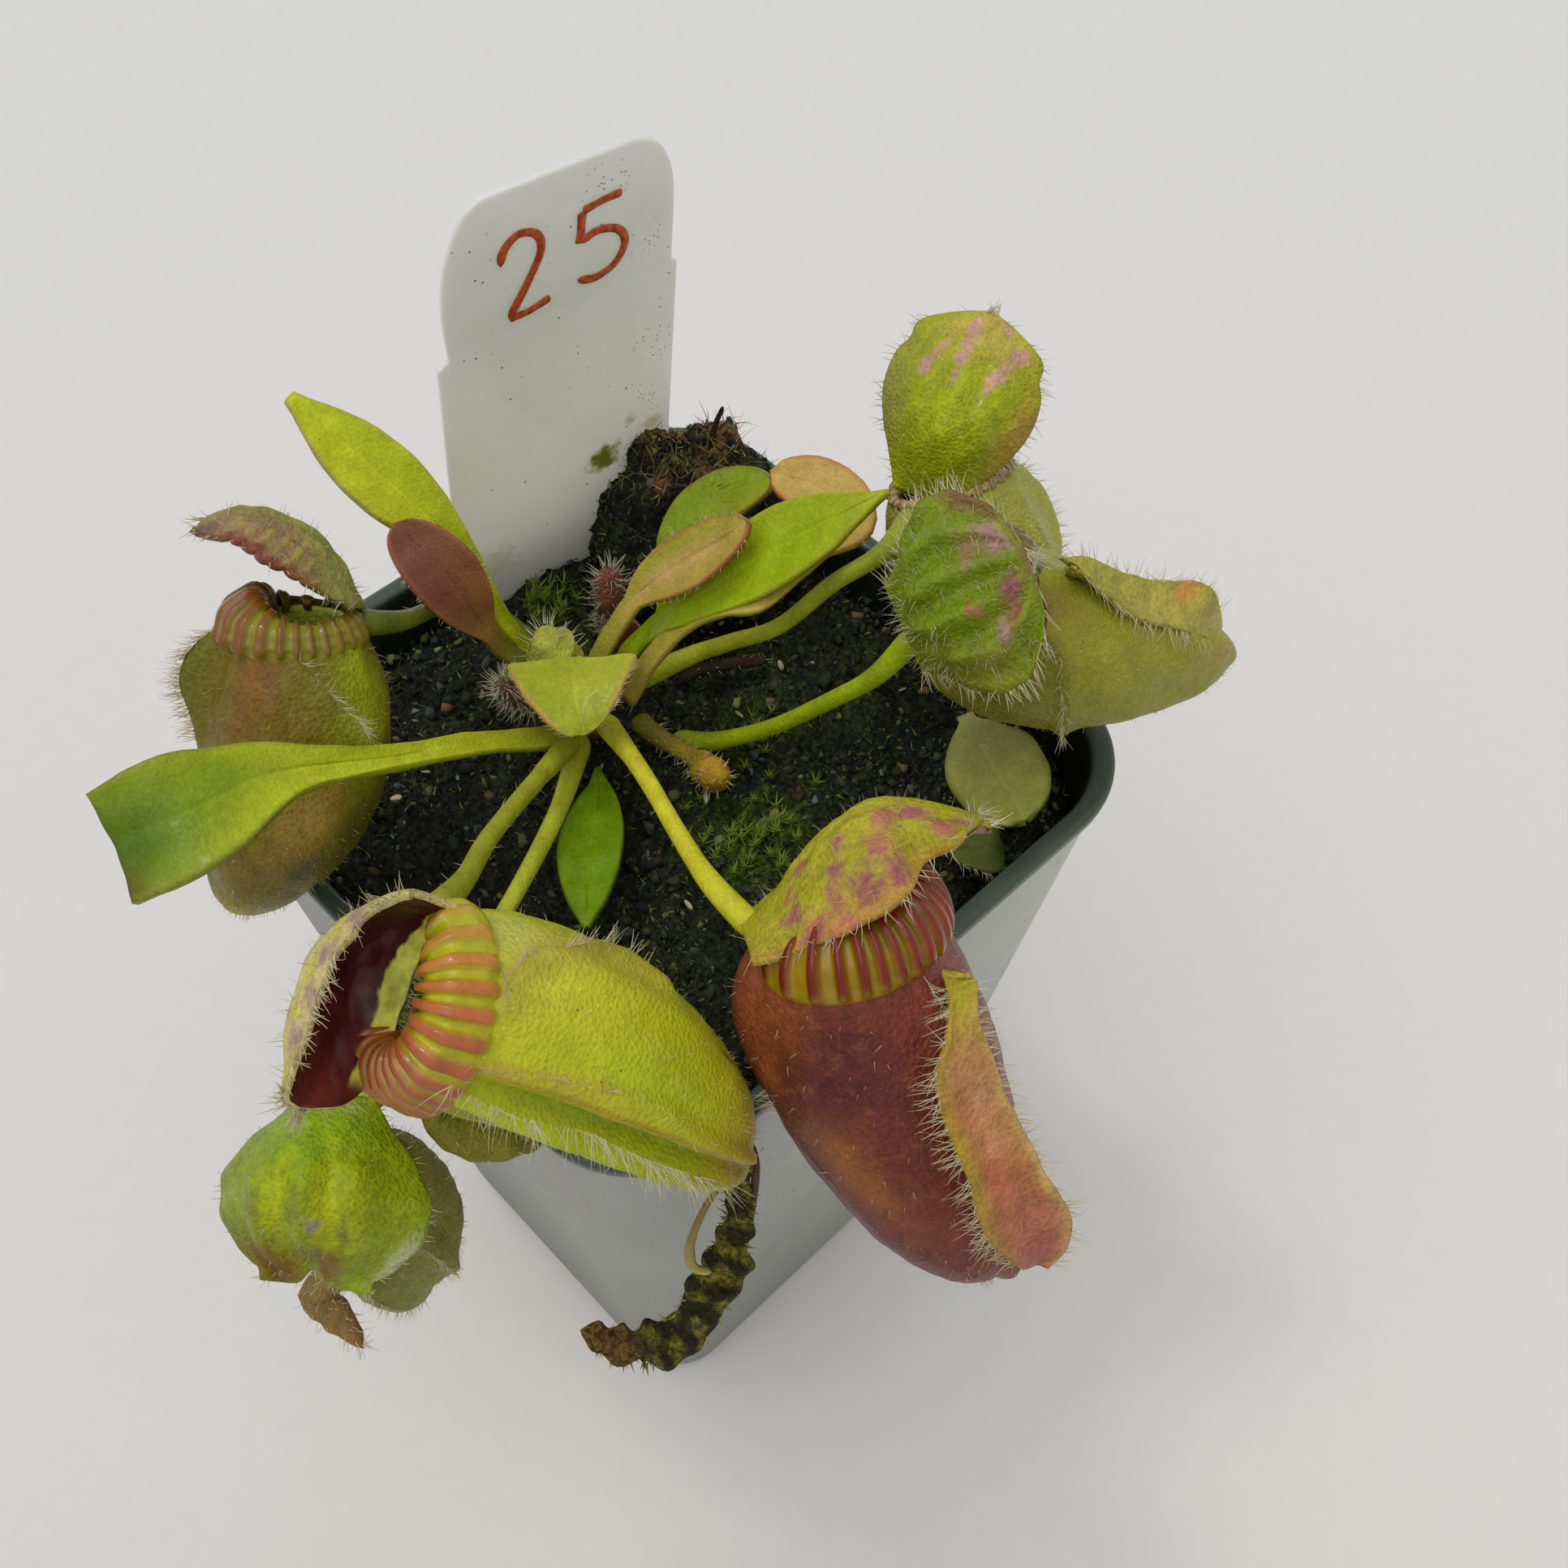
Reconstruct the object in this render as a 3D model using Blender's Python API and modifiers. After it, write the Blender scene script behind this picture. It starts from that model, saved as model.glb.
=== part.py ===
"""Albany pitcher plant (Cephalotus) in a small square nursery pot, at its real size.

Lengths below are in millimetres and become metres when a mesh is made. The origin is the
centre of the pot's base on the surface it stands on, +Z is up, and the pot's sides face
along X and Y. The rosette's front is towards -X and -Y.
"""
import math

import bmesh
import bpy
import numpy as np
from mathutils import Matrix, Vector

MM = 0.001
GAP = 0.3                      # space kept between pieces that touch in life

# ---------------------------------------------------------------- pot, soil and tag
POT_HEIGHT = 84.0
BASE_HALF = 19.8               # half of the base's side
RIM_HALF = 29.2                # half of the rim's side
BASE_CORNER = 6.0
RIM_CORNER = 9.5
POT_WALL = 1.2
LIP_HEIGHT = 1.8
LIP_PROUD = 0.5
DRAIN_RADIUS = 2.5
DRAIN_OFFSET = 10.5
SOIL_TOP = 79.0
SOIL_LUMPS = 0.45
MOUND_CENTRE = (17.8, 13.0)
MOUND_RADII = (8.1, 7.4, 12.0)

# the tag's outline in its own plane: across from its left notch, up from its notches
TAG_HEAD = [(20.1, 0.0), (20.4, 7.2), (20.0, 9.7), (18.9, 12.0), (17.4, 13.0), (5.2, 13.6),
            (3.4, 12.7), (2.3, 10.9), (1.2, 8.2), (0.6, 5.0), (0.4, 0.0)]
TAG_FOOT = [(0.0, 0.0), (0.3, -32.0), (9.5, -72.0), (18.6, -32.0), (20.5, 0.0)]
TAG_THICK = 0.45
TAG_NOTCH = (-0.9, 21.8, 110.0)
TAG_YAW = -9.2                 # degrees from +X to the tag's width
TAG_ROLL = -3.4                # its right notch stands a little higher
TAG_LEAN = 7.9                 # its head leans forward

# ---------------------------------------------------------------- pitchers
# at: centre of the mouth. turn: the mouth's facing, nod and roll in degrees. cup: width, depth,
# length. mouth: mouth width over cup width. toe: how far the toe swings to the front.
# lid: length, width, dome height. foot: how far the lid's foot
# stands behind, above and beside the rim's back. join: the same for the stalk's end, behind.
PITCHERS = {
    "red": dict(at=(-9.3, -28.9, 100.0), turn=(-63, -20, -22), cup=(18.0, 16.5, 28.0), mouth=0.80,
                toe=8.5, egg=0.06, lid=(17.0, 15.0, 4.5), lid_turn=(-23, -8, -34), join=1.7, foot=(0.4, 1.4, 0.0),
                keel=2.4, colour=(0.32, 0.07, 0.05), lid_colour=(0.42, 0.33, 0.10)),
    "front": dict(at=(-34.1, -18.1, 106.8), turn=(214, 32, 44), cup=(14.0, 14.6, 27.0), mouth=0.88,
                  toe=6.5, egg=0.0, lid=(15.5, 11.6, 4.0), lid_turn=(197, 24, 107), join=1.7, foot=(1.8, 2.4, 0.0),
                  keel=2.4, colour=(0.42, 0.48, 0.06), lid_colour=(0.24, 0.05, 0.05)),
    "lower_left": dict(at=(-41.1, -15.0, 86.0), turn=(220, 16, 17), cup=(13.0, 13.0, 16.0),
                       mouth=0.82, toe=3.0, egg=0.0, lid=(13.5, 15.0, 5.5), lid_turn=(220, 33, 1),
                       join=1.9, foot=(0.4, 3.9, 0.0), keel=1.8, colour=(0.16, 0.17, 0.04),
                       lid_colour=(0.28, 0.34, 0.05)),
    "left": dict(at=(-21.9, 13.1, 103.8), turn=(136, -3, 32), cup=(14.3, 14.8, 22.0), mouth=0.80,
                 toe=2.0, egg=0.0, lid=(13.5, 11.0, 5.5), lid_turn=(117, -19, 29), join=1.7, foot=(0.4, 1.4, 0.0),
                 keel=1.8, colour=(0.24, 0.19, 0.06), lid_colour=(0.25, 0.15, 0.09)),
    "top_right": dict(at=(30.3, -6.0, 97.9), turn=(-12, -2, -30), cup=(11.0, 13.0, 14.0),
                      mouth=0.88, toe=1.0, egg=0.0, lid=(16.0, 13.4, 5.0), lid_turn=(22, -33, 0),
                      join=1.9, foot=(1.0, 1.6, 0.0), keel=1.8, colour=(0.44, 0.45, 0.12),
                      lid_colour=(0.38, 0.36, 0.07)),
    "right": dict(at=(17.7, -15.8, 103.5), turn=(-27, -36, -10), cup=(17.0, 16.0, 24.0),
                  mouth=0.86, toe=7.0, egg=0.0, lid=(15.0, 13.4, 4.0), lid_turn=(-8, -26, 0),
                  join=1.6, foot=(0.8, 4.3, 4.2), keel=2.4, colour=(0.36, 0.38, 0.07),
                  lid_colour=(0.20, 0.27, 0.07)),
}
CUP_WALL = 0.7
LID_WALL = 0.7
LID_NECK = 0.34                # neck width over the lid's width
LID_WIDEST = 0.56              # where along its length the lid is widest
RIDGE_HALF_ANGLE = math.radians(11)
SIDE_RIDGE_ANGLE = math.radians(60)
SIDE_RIDGE = 0.8

# ---------------------------------------------------------------- stalks: route and radius
STALK_RADIUS = 0.85
STALKS = {
    "red_stalk": [(-2.2, 4.6, 84.3), (-5.9, -4.7, 90), (-10, -14.1, 95), (-12.4, -20, 98.4)],
    "front_stalk": [(-5.8, 3.9, 85.6), (-12.8, -1.1, 91.9), (-20.8, -7.0, 99.0), (-25.6, -11.4, 103.8)],
    "lower_left_stalk": [(-3.8, 5.5, 82.7), (-10.5, -0.1, 85.3), (-17, -4.2, 87), (-23, -7.1, 87.5), (-30.6, -10.3, 87.9)],
    "left_stalk": [(-0.4, 10.2, 81.3), (-1.5, 13.9, 84.9), (-3.8, 16.2, 89.1), (-8.8, 14.8, 94.9), (-13.8, 12, 99.5)],
    "top_right_stalk": [(2.6, 6.9, 83), (7.4, 4.4, 85.7), (11.1, -1.3, 90.5), (15.8, -5.3, 95.7), (18.9, -5.8, 96.5)],
    "right_stalk": [(4.9, -1.4, 80.5), (6.2, -6.8, 84.6), (7.9, -11.6, 89.6), (9.4, -15.0, 94.4)],
}

# ---------------------------------------------------------------- leaves
# route from the base to the tip, the direction the blade faces, blade width, the share of the
# length that is petiole, where the blade is widest, and how blunt its tip is
LEAVES = {
    "upper_left_leaf": dict(route=[(-2.5, 11.3, 85.2), (-4.7, 12.5, 91.2), (-6, 16.1, 98.6), (-8.8, 22, 105), (-10.7, 27.5, 109)],
                            up=(-0.23, -0.21, 0.95), width=5.6, petiole=0.3, widest=0.55, tip=2.0,
                            colour=(0.36, 0.46, 0.05)),
    "long_left_leaf": dict(route=[(-8.6, 4.2, 87.8), (-14.3, 3.7, 93.3), (-23.3, 2.4, 101.2), (-31.9, 1, 107.6), (-38.1, 1, 109.9), (-42.5, 3.4, 108.9)],
                           up=(-0.08, -0.05, 0.98), width=9.2, petiole=0.38, widest=0.80, tip=5.0,
                           colour=(0.22, 0.36, 0.04)),
    "purple_leaf": dict(route=[(-4.3, 9.3, 88.5), (-6.5, 10.3, 91.3), (-8.2, 10.6, 95.8), (-9.5, 12.3, 100.9), (-10.5, 16.5, 103.8)],
                        up=(-0.28, -0.27, 0.89), width=5.0, petiole=0.35, widest=0.6, tip=2.0,
                        colour=(0.15, 0.05, 0.05)),
    "young_leaf": dict(route=[(-4, 5.2, 92.4), (-5.4, 3.2, 92.9), (-7.1, 0.9, 92.4), (-7.6, -0.2, 91.4)],
                       up=(0.0, 0.03, 1.0), width=8.4, petiole=0.05, widest=0.25, tip=1.3,
                       colour=(0.36, 0.40, 0.06)),
    "long_green_leaf": dict(route=[(0.4, 5.6, 87.6), (2.2, 4.6, 90.8), (5, 1.6, 95.4), (10.8, -2.6, 101), (16.1, -8, 107)],
                            up=(-0.23, -0.21, 0.95), width=6.2, petiole=0.2, widest=0.55, tip=2.0,
                            colour=(0.32, 0.48, 0.03)),
    "bronze_leaf": dict(route=[(-2, 5.4, 90.4), (0.4, 4.9, 94), (2.9, 4.2, 96.8), (6.1, 1.9, 99.8), (9.4, -0.3, 102.8)],
                        up=(-0.28, -0.27, 0.89), width=5.2, petiole=0.2, widest=0.5, tip=2.0,
                        colour=(0.33, 0.22, 0.06)),
    "round_leaf": dict(route=[(7.2, 8.6, 81.2), (8.8, 9.2, 85.8), (12.0, 10.6, 90.0), (16.3, 10.0, 93), (19.4, 7.3, 95)],
                       up=(-0.28, -0.27, 0.89), width=5.2, petiole=0.3, widest=0.5, tip=2.0,
                       colour=(0.20, 0.30, 0.05)),
    "peach_leaf": dict(route=[(0.8, 4.9, 84), (3.6, 5.2, 88), (7.3, 3.4, 91.5), (11.4, -1.2, 94.5), (15.6, -3.2, 97.5), (18.1, -2.1, 98.3), (18.5, 1.9, 98.3), (17.4, 6, 98.3)],
                       up=(-0.28, -0.27, 0.89), width=4.6, petiole=0.66, widest=0.5, tip=2.0,
                       colour=(0.50, 0.32, 0.12)),
    "front_leaf": dict(route=[(-4.6, 2.4, 82.0), (-6.4, -0.6, 83.2), (-10.1, -4.7, 84.4), (-14.7, -10.9, 84.0)],
                       up=(-0.42, -0.40, 0.81), width=4.8, petiole=0.15, widest=0.5, tip=2.0,
                       colour=(0.16, 0.27, 0.03)),
    "pale_leaf": dict(route=[(21.5, -14.4, 81.6), (19.2, -18.6, 82.5), (17.6, -22.4, 82.8), (16.8, -25.2, 82.2)],
                      up=(-0.42, -0.40, 0.81), width=7.0, petiole=0.05, widest=0.55, tip=3.0,
                      colour=(0.38, 0.40, 0.18)),
    "small_hairy_leaf": dict(route=[(14.0, -25.2, 80.6), (12.8, -25.0, 82.2), (11.4, -24.2, 83), (9.8, -23.2, 83)],
                             up=(-0.25, -0.23, 0.99), width=3.4, petiole=0.1, widest=0.45, tip=2.0,
                             colour=(0.17, 0.26, 0.06)),
    "tiny_red_leaf": dict(route=[(2.0, 7.6, 87.4), (2.0, 6.9, 89.6), (2.7, 6.2, 91.6)],
                          up=(-0.02, -0.71, 0.74), width=2.2, petiole=0.1, widest=0.5, tip=2.0,
                          colour=(0.20, 0.04, 0.04)),
}
LEAF_THICK = 0.6
PETIOLE_HALF = 0.75
LEAF_CUPPING = 0.15
LEAF_ACROSS = 4
LEAF_ALONG = 12

# ---------------------------------------------------------------- buds and loose pieces
# each is a route with a radius at every point
SHOOTS = {
    "young_pitcher": [(-3.2, 6.9, 89.6, 0.8), (-3.7, 7.3, 90.6, 1.8), (-4.2, 7.7, 92.4, 1.8),
                      (-4.4, 7.9, 93.8, 0.8)],
    "purple_bud": [(5.2, 12.2, 80.6, 0.7), (5.6, 12.4, 83.0, 0.8), (6.0, 12.4, 85.6, 1.6),
                   (6.2, 12.4, 87.6, 1.6), (6.3, 12.4, 89.2, 0.7)],
    "white_bud": [(-6.5, 7.1, 87.2, 0.6), (-7.5, 7.4, 88.8, 0.9), (-8.5, 7.8, 90.4, 1.5),
                  (-9.1, 8.0, 91.8, 0.7)],
    "stolon": [(0.6, 4.4, 82.2, 0.9), (1.4, 2.4, 81.2, 0.9), (2.1, -1.0, 81.0, 0.8),
               (1.7, -3.6, 81.6, 0.8), (1.4, -4.9, 82.6, 1.4), (1.2, -5.6, 83.5, 1.3),
               (1.1, -6.0, 84.3, 0.6)],
    "hanging_strand": [(-17.8, -25.7, 80.6, 0.6), (-18.2, -26.2, 84.4, 0.6), (-18.8, -28.2, 85.2, 0.7),
                       (-19.9, -30.4, 85.0, 0.8), (-21.0, -31.8, 82.6, 1.0),
                       (-23.2, -32.8, 75.0, 1.6), (-25.6, -32.6, 68.0, 1.4),
                       (-28.2, -31.4, 62.6, 1.5), (-30.6, -28.8, 60.6, 1.1),
                       (-32.4, -25.6, 61.6, 0.6)],
    "black_twig": [(19.4, 15.0, 92.6, 0.3), (20.2, 15.3, 94.6, 0.35), (21.0, 15.0, 97.0, 0.25)],
    "brown_root": [(8.8, 7.4, 80.6, 0.6), (10.2, 5.8, 81.0, 0.7), (12.0, 4.2, 81.2, 0.7),
                   (14.4, 3.0, 80.8, 0.5)],
}
SHOOT_COLOURS = {
    "young_pitcher": (0.34, 0.42, 0.10), "purple_bud": (0.20, 0.08, 0.12),
    "white_bud": (0.40, 0.34, 0.28), "stolon": (0.32, 0.32, 0.06),
    "hanging_strand": (0.10, 0.10, 0.03), "black_twig": (0.02, 0.02, 0.02),
    "brown_root": (0.10, 0.06, 0.04),
}
CROWN_CENTRE = (-1.9, 6.8, 84.6)
CROWN_RADII = (1.5, 1.5, 4.4)


# ================================================================ helpers
def material(name, colour, roughness=0.5):
    made = bpy.data.materials.new(name)
    made.use_nodes = True
    shader = made.node_tree.nodes["Principled BSDF"]
    shader.inputs["Base Color"].default_value = (*colour, 1.0)
    shader.inputs["Roughness"].default_value = roughness
    shader.inputs["Metallic"].default_value = 0.0
    return made


def new_collection(name):
    made = bpy.data.collections.new(name)
    bpy.context.scene.collection.children.link(made)
    return made


def add_mesh(name, bm, collection, finish, smooth=True):
    """Turns a bmesh in millimetres into an object in metres."""
    bmesh.ops.scale(bm, vec=(MM, MM, MM), verts=bm.verts)
    mesh = bpy.data.meshes.new(name)
    bm.to_mesh(mesh)
    bm.free()
    if smooth:
        mesh.shade_smooth()
        mesh.set_sharp_from_angle(angle=math.radians(40))
    made = bpy.data.objects.new(name, mesh)
    collection.objects.link(made)
    mesh.materials.append(finish)
    return made


def thicken(piece, wall, offset):
    shell = piece.modifiers.new("wall", "SOLIDIFY")
    shell.thickness = wall * MM
    shell.offset = offset
    shell.use_even_offset = False
    shell.use_rim = True


def cut(piece, cutter):
    step = piece.modifiers.new("cut", "BOOLEAN")
    step.operation = "DIFFERENCE"
    step.solver = "EXACT"
    step.object = cutter
    cutter.hide_render = True
    cutter.display_type = "WIRE"


def smooth_route(points, per_span):
    """Points on a smooth curve through the given ones, whatever each point holds."""
    known = np.array(points, dtype=float)
    known = np.vstack([2 * known[0] - known[1], known, 2 * known[-1] - known[-2]])
    out = []
    for before, start, end, after in zip(known, known[1:], known[2:], known[3:]):
        for t in np.arange(per_span) / per_span:
            out.append(0.5 * (2 * start + (end - before) * t
                              + (2 * before - 5 * start + 4 * end - after) * t ** 2
                              + (3 * start - before - 3 * end + after) * t ** 3))
    out.append(known[-2])
    return np.array(out)


def even_route(points, count):
    """Points evenly spaced along the smooth curve."""
    fine = smooth_route(points, 12)
    steps = np.linalg.norm(np.diff(fine[:, :3], axis=0), axis=1)
    reached = np.concatenate([[0.0], np.cumsum(steps)])
    wanted = np.linspace(0.0, reached[-1], count)
    return np.stack([np.interp(wanted, reached, fine[:, k]) for k in range(fine.shape[1])], axis=1)


def tube(name, points, radii, collection, finish):
    """A curve object with a round section and filled caps."""
    data = bpy.data.curves.new(name, "CURVE")
    data.dimensions = "3D"
    data.bevel_depth = MM
    data.bevel_resolution = 2
    data.use_fill_caps = True
    line = data.splines.new("POLY")
    line.points.add(len(points) - 1)
    for spot, place, radius in zip(line.points, points, radii):
        spot.co = (*(MM * v for v in place), 1.0)
        spot.radius = radius
    data.materials.append(finish)
    made = bpy.data.objects.new(name, data)
    collection.objects.link(made)
    return made


def turned(angles):
    """Facing, nod and roll in degrees as a rotation: roll first, then nod, then facing."""
    face, nod, roll = (math.radians(a) for a in angles)
    return (Matrix.Rotation(face - math.pi / 2, 4, "Z") @ Matrix.Rotation(-nod, 4, "X")
            @ Matrix.Rotation(roll, 4, "Y"))


# ================================================================ pot, soil, tag
def rounded_square(half, corner, z, per_corner=5):
    ring = []
    for quarter in range(4):
        middle = math.pi / 4 + quarter * math.pi / 2
        cx = math.copysign(half - corner, math.cos(middle))
        cy = math.copysign(half - corner, math.sin(middle))
        for k in range(per_corner + 1):
            angle = quarter * math.pi / 2 + (math.pi / 2) * k / per_corner
            ring.append((cx + corner * math.cos(angle), cy + corner * math.sin(angle), z))
    return ring


def loft(bm, rings):
    """Skins a run of rings that have the same number of points; returns the rings of vertices."""
    made = [[bm.verts.new(p) for p in ring] for ring in rings]
    for low, high in zip(made, made[1:]):
        for k in range(len(low)):
            after = (k + 1) % len(low)
            bm.faces.new((low[k], low[after], high[after], high[k]))
    return made


def half_at(z):
    return BASE_HALF + (RIM_HALF - LIP_PROUD - BASE_HALF) * z / POT_HEIGHT


def corner_at(z):
    return BASE_CORNER + (RIM_CORNER - BASE_CORNER) * z / POT_HEIGHT


def wall_ring(z, inset=0.0, proud=0.0):
    return rounded_square(half_at(z) - inset + proud, corner_at(z) - 0.5 * inset, z)


def build_pot(collection, cutters):
    bm = bmesh.new()
    lip_foot = POT_HEIGHT - LIP_HEIGHT
    rings = [wall_ring(0.0), wall_ring(lip_foot - 0.4), wall_ring(lip_foot, proud=LIP_PROUD),
             wall_ring(POT_HEIGHT, proud=LIP_PROUD), wall_ring(POT_HEIGHT, inset=POT_WALL),
             wall_ring(POT_WALL, inset=POT_WALL)]
    made = loft(bm, rings)
    bm.faces.new(reversed(made[0]))
    bm.faces.new(made[-1])
    bmesh.ops.recalc_face_normals(bm, faces=bm.faces)
    pot = add_mesh("pot", bm, collection, material("pot_plastic", (0.035, 0.065, 0.05), 0.35))
    bm = bmesh.new()
    for sx in (-1, 1):
        for sy in (-1, 1):
            place = Matrix.Translation((sx * DRAIN_OFFSET, sy * DRAIN_OFFSET, 0.0))
            bmesh.ops.create_cone(bm, cap_ends=True, segments=16, radius1=DRAIN_RADIUS,
                                  radius2=DRAIN_RADIUS, depth=6 * POT_WALL, matrix=place)
    drains = add_mesh("drain_cutter", bm, cutters, pot.data.materials[0], smooth=False)
    cut(pot, drains)
    return pot


def lumps(x, y):
    """Height of the soil's surface above its mean, in units of SOIL_LUMPS."""
    return (math.sin(0.53 * x + 1.3) * math.cos(0.41 * y) + 0.6 * math.sin(0.23 * x - 0.57 * y))


def build_soil(collection, cutters):
    bm = bmesh.new()
    clear = POT_WALL + GAP
    rings = [wall_ring(clear, inset=clear), wall_ring(SOIL_TOP - 0.8, inset=clear)]
    edge = wall_ring(SOIL_TOP - 0.8, inset=clear)
    for share in (0.93, 0.75, 0.5, 0.25):
        rings.append([(share * x, share * y, SOIL_TOP + SOIL_LUMPS * lumps(share * x, share * y))
                      for x, y, _ in edge])
    made = loft(bm, rings)
    bm.faces.new(reversed(made[0]))
    centre = bm.verts.new((0.0, 0.0, SOIL_TOP + SOIL_LUMPS * lumps(0, 0)))
    last = made[-1]
    for k in range(len(last)):
        bm.faces.new((last[k], last[(k + 1) % len(last)], centre))
    bmesh.ops.recalc_face_normals(bm, faces=bm.faces)
    finish = material("black_peat", (0.012, 0.014, 0.012), 0.95)
    soil = add_mesh("soil", bm, collection, finish)
    slot = add_mesh("tag_slot_cutter", tag_solid(TAG_THICK + 2 * GAP, GAP), cutters, finish, False)
    cut(soil, slot)
    return soil


def build_mound(collection):
    """A heap of moss and peat in the back corner, flat where it sits on the soil."""
    bm = bmesh.new()
    bmesh.ops.create_icosphere(bm, subdivisions=3, radius=1.0)
    floor = SOIL_TOP + 1.0
    for v in bm.verts:
        x, y, z = v.co
        bump = 1.0 + 0.07 * math.sin(7 * x + 2) * math.cos(6 * y + 3 * z)
        v.co.x = MOUND_CENTRE[0] + MOUND_RADII[0] * bump * x
        v.co.y = MOUND_CENTRE[1] + MOUND_RADII[1] * bump * y
        v.co.z = max(floor, floor + MOUND_RADII[2] * bump * z)
    bmesh.ops.remove_doubles(bm, verts=bm.verts, dist=0.01)
    low = bmesh.ops.bisect_plane(bm, geom=bm.verts[:] + bm.edges[:] + bm.faces[:],
                                 plane_co=(0, 0, floor + 0.05), plane_no=(0, 0, -1),
                                 clear_outer=True)
    rim = [e for e in low["geom_cut"] if isinstance(e, bmesh.types.BMEdge)]
    bmesh.ops.contextual_create(bm, geom=rim)
    bmesh.ops.triangulate(bm, faces=bm.faces)
    bmesh.ops.recalc_face_normals(bm, faces=bm.faces)
    return add_mesh("moss_mound", bm, collection, material("moss_peat", (0.03, 0.035, 0.015), 0.95))


def tag_solid(thick, grow=0.0):
    """The tag leans forward above the soil and follows the pot's slope below it."""
    outline = TAG_FOOT[:-1] + [TAG_FOOT[-1]] + TAG_HEAD
    middle = Vector((10.2, -5.0))
    bm = bmesh.new()
    corners = []
    for x, z in outline:
        foot = z < -50
        x += math.copysign(grow, x - middle.x) if grow and not foot else 0.0
        z += (-5 * grow if foot else grow if z > 12 else 0.0)
        corners.append(bm.verts.new((x, -thick / 2, z)))
    face = bm.faces.new(corners)
    pushed = bmesh.ops.extrude_face_region(bm, geom=[face])["geom"]
    bmesh.ops.translate(bm, vec=(0, thick, 0), verts=[g for g in pushed
                                                      if isinstance(g, bmesh.types.BMVert)])
    bend = SOIL_TOP + 1.5 - TAG_NOTCH[2]
    bmesh.ops.bisect_plane(bm, geom=bm.verts[:] + bm.edges[:] + bm.faces[:],
                           plane_co=(0, 0, bend), plane_no=(0, 0, 1))
    bmesh.ops.recalc_face_normals(bm, faces=bm.faces)
    lean = math.tan(math.radians(TAG_LEAN))
    slope = lean + (RIM_HALF - BASE_HALF) / POT_HEIGHT
    for v in bm.verts:
        if v.co.z < bend:
            v.co.y -= slope * (bend - v.co.z)
    pose = (Matrix.Translation(TAG_NOTCH) @ Matrix.Rotation(math.radians(TAG_YAW), 4, "Z")
            @ Matrix.Rotation(math.radians(TAG_LEAN), 4, "X")
            @ Matrix.Rotation(math.radians(TAG_ROLL), 4, "Y"))
    bmesh.ops.transform(bm, matrix=pose, verts=bm.verts)
    bmesh.ops.triangulate(bm, faces=bm.faces)
    return bm


def build_tag(collection):
    return add_mesh("plant_tag", tag_solid(TAG_THICK), collection,
                    material("white_plastic", (0.72, 0.73, 0.74), 0.4), smooth=False)


# ================================================================ pitchers
def ridge(angle, centre, height):
    apart = abs((angle - centre + math.pi) % (2 * math.pi) - math.pi)
    return height * math.exp(-(apart / RIDGE_HALF_ANGLE) ** 2)


def cup_point(spec, angle, along):
    """A point of the cup's outside: angle from the front, along from the mouth (0) to the toe."""
    width, depth, length = spec["cup"]
    first = math.asin(spec["mouth"])
    polar = first + (math.pi - first) * along
    reach = math.sin(polar) * (1 + spec["egg"] * math.cos(polar))
    drop = (math.cos(first) - math.cos(polar)) / (1 + math.cos(first))
    wing = math.sin(math.pi * min(1.0, along * 1.05)) ** 0.6 if 0 < along < 0.95 else 0.0
    out = wing * (ridge(angle, 0.0, spec["keel"])
                  + ridge(angle, SIDE_RIDGE_ANGLE, SIDE_RIDGE)
                  + ridge(angle, -SIDE_RIDGE_ANGLE, SIDE_RIDGE))
    return ((width / 2 * reach + out) * math.sin(angle),
            (depth / 2 * reach + out) * math.cos(angle) + spec["toe"] * drop ** 1.6,
            -length * drop)


def build_cup(name, spec, collection):
    """A pouch with three raised wings: a ball opened at the mouth and stretched to a slipper."""
    bm = bmesh.new()
    rings = 12
    bmesh.ops.create_uvsphere(bm, u_segments=24, v_segments=rings, radius=1.0)
    top = [v for v in bm.verts if v.co.z > math.cos(1.5 * math.pi / rings)]
    bmesh.ops.delete(bm, geom=top, context="VERTS")
    first = 2 * math.pi / rings
    for v in bm.verts:
        polar = math.acos(max(-1.0, min(1.0, v.co.z)))
        along = max(0.0, min(1.0, (polar - first) / (math.pi - first)))
        v.co = cup_point(spec, math.atan2(v.co.x, v.co.y), along)
    bmesh.ops.transform(bm, verts=bm.verts,
                        matrix=Matrix.Translation(spec["at"]) @ turned(spec["turn"]))
    bmesh.ops.recalc_face_normals(bm, faces=bm.faces)
    cup = add_mesh(name + "_cup", bm, collection, material(name + "_skin", spec["colour"], 0.4))
    thicken(cup, CUP_WALL, -1.0)
    return cup


def lid_point(spec, across, along):
    length, width, dome = spec["lid"]
    if along > LID_WIDEST:
        share = math.sqrt(max(0.0, 1 - ((along - LID_WIDEST) / (1 - LID_WIDEST)) ** 2))
        share = max(share, 0.12)
    else:
        swell = math.sin(math.pi / 2 * along / LID_WIDEST) ** 1.3
        share = LID_NECK + (1 - LID_NECK) * swell
    rise = math.sin(math.pi * along ** 0.85) if 0 < along < 1 else 0.0
    return (across * share * width / 2, along * length, dome * rise * (1 - across ** 2))


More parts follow.
